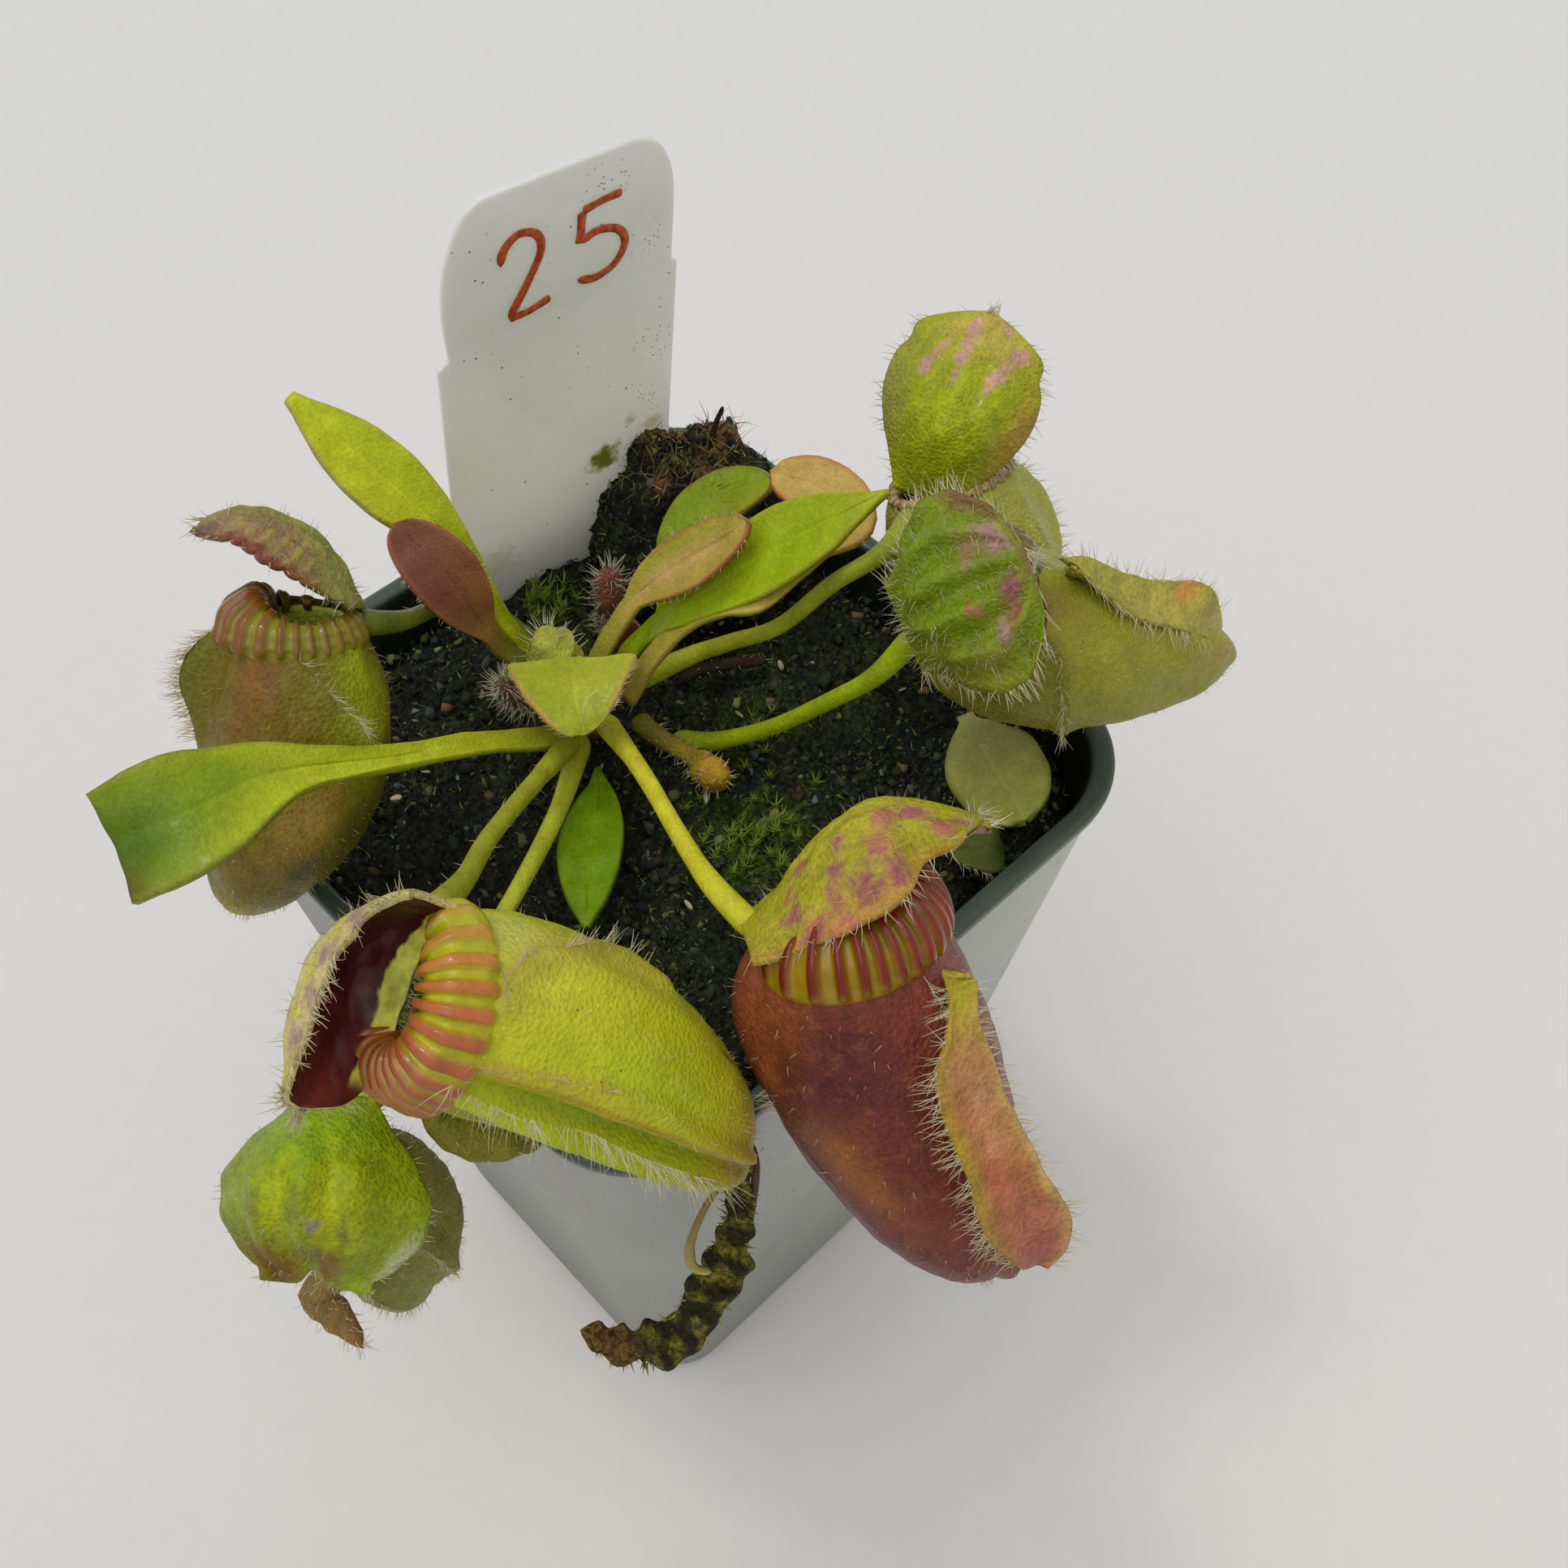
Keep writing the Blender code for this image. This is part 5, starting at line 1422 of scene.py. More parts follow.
def collar_rule(trap):
    look = trap["collar"]
    hook = collar_hook(look)
    slope = np.gradient(hook, axis=0)
    normal = unit(np.stack([slope[:, 1], -slope[:, 0]], 1))
    width, depth, length = trap["cup"]
    first = math.asin(trap["mouth"])
    turn = np.array(turned(trap["turn"]))

    def rule(u, v):
        degrees = 360.0 * u - 180.0
        crowd, at_crowd = look["crowd"]
        phase = (look["ribs"] * u + crowd / (2 * math.pi)
                 * np.sin(np.radians(degrees - at_crowd)) + 0.1 * np.sin(30 * u))
        near = 1 - 2 * np.abs(phase % 1.0 - 0.5)
        usual, swing, at_wide = look["gaps"]
        gap_share = usual - swing * np.cos(np.radians(degrees - at_wide))
        ribbed = smooth(near, gap_share, gap_share + 0.3)
        begin, end, less = look["low"]
        size = 1 - less * smooth(np.abs(degrees), begin, end)
        quiet, half, most = look["quiet"]
        size = size * (1 - most * np.exp(-(apart(degrees, quiet) / half) ** 4))
        reach = v * (0.76 + 0.24 * ribbed * (0.94 + 0.06 * np.sin(9 * degrees)))
        section, lean = on_route(hook, reach), on_route(normal, reach)
        fade = smooth(v, 0.06, 0.2)
        relief = look["relief"] * fade * (ribbed - 0.4) * np.where(reach > 0.78, 0.7, 1.0)
        section = section + lean * relief[:, None]
        out = section[:, 0] * size
        up = np.where(section[:, 1] > 0, section[:, 1] * size, section[:, 1])
        drop = np.clip(-up, 0, None) / length
        polar = np.arccos(np.clip(math.cos(first) - drop * (1 + math.cos(first)), -1, 1))
        share = np.where(up < 0, np.sin(polar), trap["mouth"])
        share = share * (1 + trap["egg"] * np.cos(polar))
        angle = np.radians(degrees)
        local = np.stack([(width / 2 * share + out) * np.sin(angle),
                          (depth / 2 * share + out) * np.cos(angle)
                          + trap["toe"] * drop ** 1.6, up], 1)
        gap = painted(look["gap"], degrees, v, [])
        rib = painted(look["rib"], degrees, v, look["patches"], 360.0)
        tints = gap + (ribbed * smooth(v, 0.08, 0.22))[:, None] * (rib - gap)
        tints += smooth(v, 0.78, 0.98)[:, None] * 0.8 * (tone(*look["claw"]) - tints)
        return local @ turn.T + trap["at"] + look["shift"], tints
    return rule


def collar_finish(name):
    finish = Finish(name, 0.24, 0.35, 0.25)
    cloud = finish.noise(1.2, detail=4.0)
    finish.give("Base Color", finish.scaled(finish.tint(), cloud.step(0.2, 0.8) * 0.35 + 0.82))
    finish.bump(finish.noise(0.35) + cloud, 0.05)
    return finish


CLEAR_MOUTHS = ("red", "front", "left")
for name, trap in TRAPS.items():
    across = (10 if name in CLEAR_MOUTHS else 6) * trap["collar"]["ribs"]
    collar = piece(name + "_collar", skin(across, 32, collar_rule(trap)),
                   collar_finish(name + "_collar_gloss"), name + "_skin")
    thicken(collar, 0.3, -1.0)
    print(collar.name, len(collar.data.polygons), "faces")

# %% [markdown]
# ## Lids
# A lid is a domed leaf on a narrow neck at the back of the mouth. Its upper face has soft ribs
# and pale pink to purple windows in the hollows between them; its margin carries stiff hairs.
# The skin is charted from side to side (-1 to 1) and from the neck (0) to the tip (1).

# %% Lid shape
WIDEST = 0.56


def lid_frame(lid):
    """A lid's own directions (across, along, out) and its length."""
    along = np.array(lid["tip"]) - np.array(lid["neck"])
    length = np.linalg.norm(along)
    along = along / length
    out = np.array(lid["face"])
    out = unit(out - (out @ along) * along)
    return np.array([np.cross(along, out), along, out]), length


def lid_skin(trap, x, y):
    """Points of a lid's upper face in the plant's frame."""
    lid = trap["lid"]
    width, dome = lid["size"]
    ways, length = lid_frame(lid)
    past = np.sqrt(np.clip(1 - ((y - WIDEST) / (1 - WIDEST)) ** 2, lid["blunt"], None))
    start = lid["start"]
    before = start + (1 - start) * np.sin(np.pi / 2 * np.clip(y / WIDEST, 0, 1)) ** 1.3
    half = np.where(y > WIDEST, past, before) * width / 2
    if lid["bite"]:
        where, wide, most = lid["bite"]
        half = half * np.where(x > 0, 1 - most * np.exp(-((y - where) / wide) ** 2), 1)
    count, tall, begin = lid["lobes"]
    edge = smooth(np.abs(x), 0.6, 1.0) * smooth(y, begin, begin + 0.15)
    half = half + tall * edge * np.sin(count * np.pi * y * 1.7)
    late, full = lid["crown"]
    rise = dome * np.sin(np.pi * np.clip(y, 0, 1) ** late).clip(0) ** full
    if lid["curl"]:
        bend = np.radians(np.where(x < 0, lid["curl"][0], lid["curl"][1])) / (width / 2)
        swept = x * half * bend
        across, up = np.sin(swept) / bend, rise - (1 - np.cos(swept)) / bend
    else:
        across, up = x * half, rise * (1 - x ** 2)
    ribs, high = lid["ribs"]
    body = smooth(y, 0.15, 0.4) * smooth(1 - y, 0.0, 0.2) * (1 - 0.5 * x ** 2)
    up = up + high * body * np.cos(2 * np.pi * ribs * (x * 0.5 + 0.5))
    for at_x, at_y, wide, tall, lift in lid["bumps"]:
        up = up + lift * np.exp(-((x - at_x) / wide) ** 2 - ((y - at_y) / tall) ** 2)
    notch = lid["notch"] * np.exp(-(x / 0.2) ** 2) * smooth(y, 0.6, 1.0)
    local = np.stack([across, (y - notch) * length, up], 1)
    local[:, 2] += 0.12 * ripple(local, 3.5, 51) + 0.05 * ripple(local, 1.3, 52)
    return local @ ways + np.array(lid["neck"])


def lid_normal(trap, x, y):
    """The way out of a lid's upper face."""
    here = lid_skin(trap, x, y)
    return unit(np.cross(lid_skin(trap, x + 0.01, y) - here, lid_skin(trap, x, y + 0.01) - here))


def lid_rule(trap):
    def rule(u, v):
        x, y = 2 * u - 1, v
        points = lid_skin(trap, x, y)
        lid = trap["lid"]
        tints = painted(lid["skin"], x + 0.05 * ripple(points, 0.9, 54),
                        y + 0.02 * ripple(points, 0.9, 55), lid["patches"], crisp=1.6)
        # painted light: near the neck the underside's own pale green is painted bright, as light
        # through the leaf
        lime = lid["lime"] + 0.03 * ripple(points, 1.5, 53)
        lime = (smooth(x, lime, lime + 0.03) * smooth(0.9 - y, 0, 0.1))[:, None]
        under = painted(lid["under"], x, y, lid["stains"])
        return points, tints, under + lime * (tone(252, 254, 100) - under)
    return rule


print("red lid:", lid_frame(TRAPS["red"]["lid"])[1].round(1), "mm long")

# %% [markdown]
# ## Lids with their undersides
# A lid is given its thickness downwards, and its underside is a second finish: darker, smooth
# and blotched. On the front trap a lime strip there, the leaf's own pale green, is painted bright
# as light coming through the leaf.

# %% Lids with their undersides
def under_finish(name):
    finish = Finish(name, 0.38, 0.12, 0.25)
    cloud = finish.noise(2.4, detail=5.0, rough=0.65)
    shade = cloud.step(0.3, 0.75) * 0.8 + 0.5
    finish.give("Base Color", finish.scaled(finish.tint("under"), shade))
    finish.bump(cloud + finish.noise(0.5) * 0.3, 0.12)
    return finish


for name, trap in TRAPS.items():
    bm = skin(72, 72, lid_rule(trap))
    lid = piece(name + "_lid_leaf", bm, flesh(name + "_lid_skin", 0.12, 0.30), name + "_lid_skin",
                name + "_lid", outward=False)
    thicken(lid, 0.5, -1.0, under_finish(name + "_lid_under"))
    print(lid.name, len(lid.data.polygons), "faces")

# %% [markdown]
# ## Keels
# Down the front of a pouch runs a broad double keel that folds out like a strap. It is thin
# living skin between two hairy edges, so it is laid as a ribbon between two routes that lie just
# above the pouch, and a web under it joins it to the pouch.

# %% Keels' measures
# one and two are the strap's edges; hairs are (edge, count, length)
KEELS = {}
KEELS["red"] = dict(
    one=[
        (-8.2, -36.2, 102.8), (-8.2, -36.4, 102.2), (-8.8, -37.5, 101.2), (-10.2, -38.6, 100.3),
        (-12, -39.6, 99.2), (-12.9, -41.2, 97.4), (-13.3, -43, 95.2), (-13.6, -44.8, 92.9),
        (-14, -46.3, 90.6), (-13.6, -47.7, 88.4), (-12.2, -49.2, 85.6)],
    two=[
        (-7.4, -37.2, 102.5), (-6.6, -37.6, 102), (-7.2, -38.4, 101), (-7.9, -39.3, 99.9),
        (-8.1, -40.8, 98.3), (-8.7, -43.2, 95.6), (-8.6, -45.3, 93.2), (-8.6, -47.3, 90.7),
        (-8.3, -49.2, 88.3), (-9, -50.2, 86.2), (-10.6, -50.4, 84.4)],
    base=(166, 108, 62), patches=[
        (0.5, 0.06, 0.8, 0.14, (164, 158, 36), 0.9), (0, 0.55, 0.2, 0.6, (168, 144, 40), 0.8),
        (0.7, 0.36, 0.2, 0.05, (196, 150, 110), 0.6), (0.4, 0.62, 0.2, 0.07, (178, 84, 66), 0.6),
        (0.3, 0.4, 0.2, 0.05, (140, 76, 44), 0.6), (0.8, 0.7, 0.2, 0.06, (150, 104, 40), 0.6),
        (0.5, 0.52, 0.2, 0.04, (190, 128, 96), 0.6), (0.6, 0.92, 0.3, 0.05, (134, 62, 52), 0.7),
        (0.5, 0.28, 0.5, 0.1, (178, 130, 88), 0.5), (0.6, 0.45, 0.3, 0.1, (190, 140, 96), 0.6),
        (0.55, 0.8, 0.5, 0.16, (160, 92, 80), 0.75), (0.3, 0.97, 0.6, 0.1, (150, 92, 84), 0.8),
        (1, 0.6, 0.12, 0.5, (184, 160, 96), 0.7)],
    slot="red_skin", hairs=((0, 170, 2.1), (1, 110, 1.7)), lift=0.45, proud=0.9)
KEELS["right"] = dict(
    one=[
        (20.2, -22, 107), (21, -23.8, 105.4), (21.9, -25.3, 104), (23.3, -26.5, 102.5),
        (25.6, -27.5, 100.8), (27.7, -28.3, 99.2), (30.9, -29.1, 96.4)],
    two=[
        (19.5, -21.2, 107.7), (21.5, -21.8, 106.9), (23.1, -23.1, 105.5), (25.8, -24.4, 103.4),
        (28.8, -25.5, 101.8), (30.9, -26.3, 100.8), (32, -27.6, 98.8), (31.6, -28.8, 96.6)],
    base=(162, 154, 66), patches=[
        (0.8, 0.66, 0.3, 0.07, (206, 128, 60), 0.7), (0, 0.5, 0.15, 0.6, (150, 140, 66), 0.6),
        (0.4, 0.2, 0.4, 0.2, (140, 138, 50), 0.5), (0.5, 0.95, 0.6, 0.1, (160, 140, 96), 0.8)],
    slot="right_skin", hairs=((0, 80, 1.9), (1, 60, 1.5)), lift=0.35, proud=0.5)
print(len(KEELS), "keels listed")

# %% [markdown]
# ## Straps and webs
# The strap is given its thickness on both sides, and stands a little towards the front of the
# pouch. Its web goes straight down from its middle line.

# %% Straps and webs
def keel_skin(keel, u, v):
    """Points of a strap and the way out of it at each."""
    one, two = (on_route(even_route(keel[k], 60), v) for k in ("one", "two"))
    ahead = unit(np.gradient(even_route(keel["one"], 60), axis=0))
    face = unit(np.cross(two - one, on_route(ahead, v)))
    face = face * np.sign(face @ TOWARDS_VIEW)[:, None]
    middle = one + (two - one) * u[:, None]
    edge = (2 * u - 1) ** 2
    lift = keel["lift"] * (edge - 0.25) * smooth(v, 0.0, 0.2) * smooth(1 - v, 0.0, 0.1)
    lift = lift + 0.16 * ripple(middle, 2.6, 61) * smooth(v, 0.02, 0.15)
    return middle + face * lift[:, None] + keel["proud"] * TOWARDS_VIEW, face


def keel_rule(keel):
    def rule(u, v):
        return keel_skin(keel, u, v)[0], painted(keel["base"], u, v, keel["patches"])
    return rule


def web_rule(keel):
    """The fold under the strap that joins it to the pouch."""
    def rule(u, v):
        middle = keel_skin(keel, 0.5 + 0 * u, 0.03 + 0.94 * v)[0]
        return (middle - TOWARDS_VIEW * (0.3 + 4.2 * u)[:, None],
                painted(keel["base"], 0.5 + 0 * u, v, keel["patches"]))
    return rule


for name, keel in KEELS.items():
    look = flesh(name + "_keel_skin", 0.12, 0.34)
    strap = piece(name + "_keel", skin(28, 120, keel_rule(keel)), look, keel["slot"])
    thicken(strap, 0.45, 0.0)
    web = piece(name + "_keel_web", skin(12, 60, web_rule(keel)), look, keel["slot"])
    thicken(web, 0.9, 0.0)
    print(strap.name, len(strap.data.polygons), "faces")

# %% [markdown]
# ## Hairs of the traps
# The plant is bristly: pale stiff hairs edge every lid and keel, and finer ones stand on the
# skins. Each is a tapered copy of one low cone, with a random length, width and tone.

# %% Hairs of the traps
def hair_coat(name, sets, slot):
    """One piece from several groups of (roots, ways, lengths, widths, tints)."""
    parts = [np.concatenate([np.broadcast_to(np.asarray(s[k], dtype=float),
                                             s[0].shape if k in (1, 4) else (len(s[0]),))
                             if k else s[0] for s in sets]) for k in range(5)]
    copies(name, "hair", *parts, HAIR, slot, bend=0.16)


def hairs(roots, ways, dice, lengths, widths, pale, dark, longer=1.0):
    """A group of hairs with random lengths, widths and tones."""
    count = len(roots)
    return (roots, ways, longer * dice.uniform(*lengths, count), dice.uniform(*widths, count),
            blend(tone(*pale), tone(*dark), dice.uniform(size=(count, 1))))


def margin_hairs(trap, count, dice, lengths):
    """Stiff hairs round a lid's edge, pointing outwards."""
    t = dice.uniform(0, 1, count)
    side = np.sign(dice.uniform(-1, 1, count))
    tip = dice.uniform(size=count) < 0.22
    x = np.where(tip, dice.uniform(-1, 1, count), side * 0.995)
    y = np.where(tip, 0.995, t)
    roots = lid_skin(trap, x, y)
    normal = lid_normal(trap, x, np.minimum(y, 0.98))
    inner = lid_skin(trap, x * 0.8, y - 0.06 * tip)
    ways = unit(roots - inner) + 0.35 * normal + 0.28 * dice.normal(size=(count, 3))
    return hairs(roots - 0.1 * normal, ways, dice, lengths, (0.038, 0.062), (214, 208, 178),
                 (190, 176, 128))


def surface_hairs(points, normal, dice, lengths):
    """Fine hairs that stand on a skin."""
    ways = normal + 0.35 * dice.normal(size=(len(points), 3))
    return hairs(points, ways, dice, lengths, (0.02, 0.036), (206, 200, 160), (176, 164, 112))


def route_hairs(points, out, dice, length):
    """Stiff hairs along a crease, a row or a keel's edge."""
    ways = out + 0.3 * dice.normal(size=(len(points), 3)) - np.array((0, 0, 0.15))
    return hairs(points, ways, dice, (0.45, 1.05), (0.027, 0.045), (220, 212, 180),
                 (188, 172, 120), length)


print("hairs of", len(TEMPLATES["hair"][1]), "faces each")

# %% [markdown]
# ## Where the traps' hairs stand
# Each trap gets one coat: its lid's margin and fuzz, its pouch's fuzz, and the rows along its
# creases, ridges and keel.

# %% Where the traps' hairs stand
POUCH_FUZZ = 420


def lid_and_pouch_hairs(trap, dice):
    lid = trap["lid"]
    yield margin_hairs(trap, lid["bristles"], dice, lid["hair"])
    count, longest = lid["fuzz"], lid["hair"][1]
    x, y = dice.uniform(-0.97, 0.97, count), dice.uniform(0.02, 0.97, count)
    yield surface_hairs(lid_skin(trap, x, y), lid_normal(trap, x, y), dice,
                        (0.25 * longest, 0.65 * longest))
    degrees, along = dice.uniform(-180, 180, POUCH_FUZZ), dice.uniform(0.05, 0.97, POUCH_FUZZ)
    yield surface_hairs(*pouch(trap, degrees, along), dice, (0.25, 0.7))


def crease_hairs(trap, dice):
    centre = pouch(trap, np.zeros(1), np.array([0.5]))[0][0]
    for crease in trap["creases"]:
        if crease["hairs"]:
            line = on_route(even_route(crease["route"], 40),
                            np.sort(dice.uniform(0, 1, crease["hairs"])))
            out = unit(line - (centre + np.array(trap["at"])) / 2)
            out = unit(out + crease.get("way", (0, 0, 0)))
            yield route_hairs(line + 0.5 * crease["high"] * out, out, dice, crease["long"])
    for at, start, end, count, length in trap["rows"]:
        line, out = pouch(trap, np.full(count, float(at)), dice.uniform(start, end, count))
        yield route_hairs(line, out, dice, length)


def keel_hairs(keel, dice):
    for side, count, length in keel["hairs"]:
        v = dice.uniform(0.05, 0.99, count)
        spots, face = keel_skin(keel, np.full(count, float(side)), v)
        other, _ = keel_skin(keel, np.full(count, 1.0 - side), v)
        yield route_hairs(spots, unit(spots - other) + 0.25 * face, dice, length)


def trap_hairs(name, trap, dice):
    sets = [*lid_and_pouch_hairs(trap, dice), *crease_hairs(trap, dice)]
    if name in KEELS:
        sets += keel_hairs(KEELS[name], dice)
    hair_coat(name + "_hairs", sets, name + "_skin")
    return sum(len(s[0]) for s in sets)


for seed, (name, trap) in enumerate(TRAPS.items()):
    print(name, trap_hairs(name, trap, default_rng(100 + seed)), "hairs")

# %% [markdown]
# ## Stalks
# Each trap hangs on a round stalk that rises from the crown, bends over and joins the back of
# the lid's neck. Stalks are thicker at both ends, yellow-green and faintly streaked.

# %% Stalks
# each stalk's route, then its tones at the foot and at the top
STALKS = {
    "red": ([(-2.2, 4.6, 84.3), (-5.9, -4.7, 90), (-10, -14.1, 95), (-12.4, -20, 98.4)], (218, 210, 58),
        (200, 196, 40)),
    "front": ([(-5.8, 3.9, 85.6), (-12.8, -1.1, 91.9), (-20.8, -7, 99), (-25.6, -11.4, 103.8)],
        (164, 166, 38), (148, 154, 30)),
    "lower_left": ([
        (-3.8, 5.5, 82.7), (-10.5, -0.1, 85.3), (-17, -4.2, 87), (-23, -7.1, 87.5),
        (-30.6, -10.3, 87.9)],
        (190, 194, 50), (172, 180, 38)),
    "left": ([
        (-0.4, 10.2, 81.3), (-1.5, 13.9, 84.9), (-3.8, 16.2, 89.1), (-8.8, 14.8, 94.9),
        (-13.8, 12, 99.5)],
        (112, 124, 30), (96, 108, 24)),
    "top_right": ([
        (2.5, 6.8, 83), (6.8, 3.8, 85.8), (8.8, 1.2, 88.1), (11.1, -2.2, 91.2), (14.6, -4.6, 95.6),
        (18.9, -5.8, 97)],
        (186, 190, 44), (140, 156, 28)),
    "right": ([
        (3, 2.4, 79), (4.2, -0.6, 80.4), (5.1, -4.3, 84.1), (6, -7.5, 87.8), (7.9, -11.4, 93),
        (9.6, -14, 96.8)],
        (158, 176, 20), (146, 166, 18)),
}


def stalk_finish():
    finish = Finish("stalk_skin", 0.42, 0.05, 0.22)
    grain = finish.noise(0.5, detail=4.0)
    colour = finish.scaled(finish.tint(), grain.step(0.2, 0.8) * 0.28 + 0.84)
    specks = finish.specks(0.9, 0.05, 0.12, finish.noise(2.0).step(0.5, 0.65))
    finish.give("Base Color", finish.mix(colour, tone(96, 64, 30), specks * 0.6))
    finish.bump(grain + finish.noise(0.25) * 0.5, 0.10)
    return finish


def stalk_route(name):
    """The stalk's route, carried on into the lid's neck."""
    trap = TRAPS[name]
    neck = lid_skin(trap, np.zeros(1), np.array([0.03]))[0] - np.array((0, 0, 0.4))
    behind = -trap["cup"][1] / 2 * trap["mouth"] + 0.3
    back = np.array(turned(trap["turn"]) @ Vector((0, behind, -1.8)))
    return STALKS[name][0] + [tuple(0.55 * neck + 0.45 * (back + np.array(trap["at"])))]


def two_tone(low, high):
    """A rule for a rod's tones, from one at its foot to another at its top."""
    def tints(u, v, points):
        shade = tone(*low) + v[:, None] * (tone(*high) - tone(*low))
        return shade * (1 + 0.12 * ripple(points, 4.0, 71))[:, None]
    return tints


STALK = stalk_finish()
for name, (route, low, high) in STALKS.items():
    full = stalk_route(name)
    bm = rod(full, [1.05, 0.72, 0.66, 0.70, 1.0], 16, 64, 1.0, tints=two_tone(low, high))
    piece(name + "_stem", bm, STALK, "stalk_skin", name + "_stalk")
    dice = default_rng(len(full) + len(name))
    v = dice.uniform(0.05, 0.98, 60)
    out = unit(dice.normal(size=(60, 3)))
    spots = on_route(even_route(full, 80), v) + 0.66 * out
    hair_coat(name + "_stem_hairs", [surface_hairs(spots, out, dice, (0.3, 0.8))], "stalk_skin")
print(len(STALKS), "stalks made")

# %% [markdown]
# ## Flat leaves
# Between the traps grow plain oval leaves, thick and glossy, on flat stalks that widen into the
# blade. A blade is slightly hollow across and has a sunk midrib and, on some, a coloured edge.
# Each follows its own route and turns its face to its own direction.
# A leaf says only what differs from a plain one.

# %% A plain leaf
PLAIN_LEAF = dict(up=(-0.28, -0.27, 0.89), widest=0.5, tip=2.0, thick=0.6, patches=[], hairs=None)
LEAVES = {}


def add_leaf(name, **measures):
    """Lists a leaf: a plain one, changed by its own measures."""
    LEAVES[name] = PLAIN_LEAF | measures


print("a plain leaf:", PLAIN_LEAF)

# %% [markdown]
# ## Leaves round the left
# Two long spoon-shaped leaves, a purple one and the youngest one stand over the left of the pot.

# %% Leaves round the left
add_leaf(
    "upper_left_leaf", route=[
        (-2.5, 11.3, 85.2), (-4.7, 12.5, 91.2), (-6, 16.1, 98.6), (-8.8, 22, 105), (-10.7, 27.5, 109)],
    up=(-0.23, -0.21, 0.95), petiole=0.4, widths=[1.6, 1.4, 1.3, 1.3, 1.7, 3, 4.8, 5.8, 5.4, 3.6, 0.6],
    base=(178, 184, 28), patches=[(0.8, 0.6, 0.5, 0.5, (160, 176, 18), 0.7)], edge=(172, 160, 70))
add_leaf(
    "long_left_leaf", route=[
        (-5.2, 5.2, 85.2), (-8.6, 4.3, 87.8), (-14.4, 3.6, 93.2), (-22.4, 2.1, 100.2),
        (-27.9, 1.5, 105), (-31.1, 1, 107.5), (-35.2, 0.6, 108.9), (-38.2, 1.2, 108.8),
        (-40.7, 2.4, 107.7)],
    up=(-0.35, -0.33, 0.88), widths=[1.9, 1.8, 1.7, 1.7, 1.7, 1.85, 2.1, 3, 5.5, 8.3, 7.3], petiole=0.4,
    base=(184, 190, 34), patches=[
        (0, 0.97, 1.6, 0.14, (58, 96, 10), 0.95), (0.3, 0.82, 0.7, 0.09, (84, 122, 12), 0.7),
        (-0.9, 1, 0.5, 0.03, (82, 56, 30), 0.8), (0, 0.1, 2, 0.25, (162, 160, 40), 0.7),
        (0.6, 0.62, 0.5, 0.2, (160, 174, 26), 0.5)],
    edge=(128, 132, 40))
add_leaf(
    "purple_leaf", route=[
        (-4.3, 9.3, 88.5), (-6.5, 10.3, 91.3), (-8.2, 10.6, 95.8), (-9.5, 12.3, 100.9),
        (-10.5, 16.5, 103.8)],
    width=4.2, petiole=0.38, widest=0.6, base=(122, 74, 48), patches=[
        (0, 0.1, 2, 0.25, (140, 146, 40), 0.9), (0, 0.8, 1.2, 0.2, (106, 62, 50), 0.7),
        (0.5, 0.6, 0.5, 0.2, (134, 92, 46), 0.5)],
    edge=(150, 84, 60), hairs=(30, 0.5))
add_leaf(
    "young_leaf", route=[(-3.8, 5.5, 92.6), (-5.5, 3.3, 93), (-7, 1, 92.6), (-7.5, -0.1, 91.5)],
    up=(0, 0.03, 1), width=8.6, petiole=0.02, widest=0.16, tip=1.05, base=(158, 162, 44),
    patches=[(0.6, 0.4, 0.5, 0.4, (146, 158, 30), 0.5)], edge=(184, 140, 84), hairs=(70, 0.6))
print(len(LEAVES), "leaves listed")

# %% [markdown]
# ## Leaves in the middle
# A long green leaf, a bronze, a round and an old peach-coloured one lean to the right.

# %% Leaves in the middle
add_leaf(
    "long_green_leaf",
    route=[(0.4, 5.6, 87.6), (2.2, 4.6, 90.8), (5, 1.6, 95.4), (10.8, -2.6, 101), (16.1, -8, 107)],
    up=(-0.23, -0.21, 0.95), petiole=0.3, widths=[1.6, 1.6, 1.7, 2.4, 4, 5.4, 6.2, 6.1, 4.9, 2.5, 0],
    base=(140, 162, 14),
    patches=[(0, 0.98, 1.5, 0.12, (168, 166, 50), 0.8), (-0.7, 0.5, 0.4, 0.4, (150, 168, 26), 0.6)],
    edge=(160, 160, 44))
add_leaf(
    "bronze_leaf",
    route=[(-2, 5.4, 90.4), (0.4, 4.9, 94), (2.9, 4.2, 96.8), (6.1, 1.9, 99.8), (9.4, -0.3, 102.8)],
    width=3.5, petiole=0.36, base=(158, 138, 58), patches=[
        (0, 0.6, 0.35, 0.3, (186, 152, 94), 0.8), (-0.7, 0.6, 0.3, 0.5, (146, 148, 40), 0.7),
        (0, 0.1, 2, 0.16, (140, 140, 40), 0.8)],
    edge=(160, 92, 62), hairs=(36, 0.7))
add_leaf(
    "round_leaf",
    route=[(7.2, 8.6, 81.2), (8.8, 9.2, 85.8), (12, 10.6, 90), (16.3, 10, 93), (19.4, 7.3, 95)],
    width=4.2, petiole=0.34, base=(134, 158, 16), patches=[(0.6, 0.7, 0.6, 0.4, (150, 152, 40), 0.6)],
    edge=(140, 116, 48))
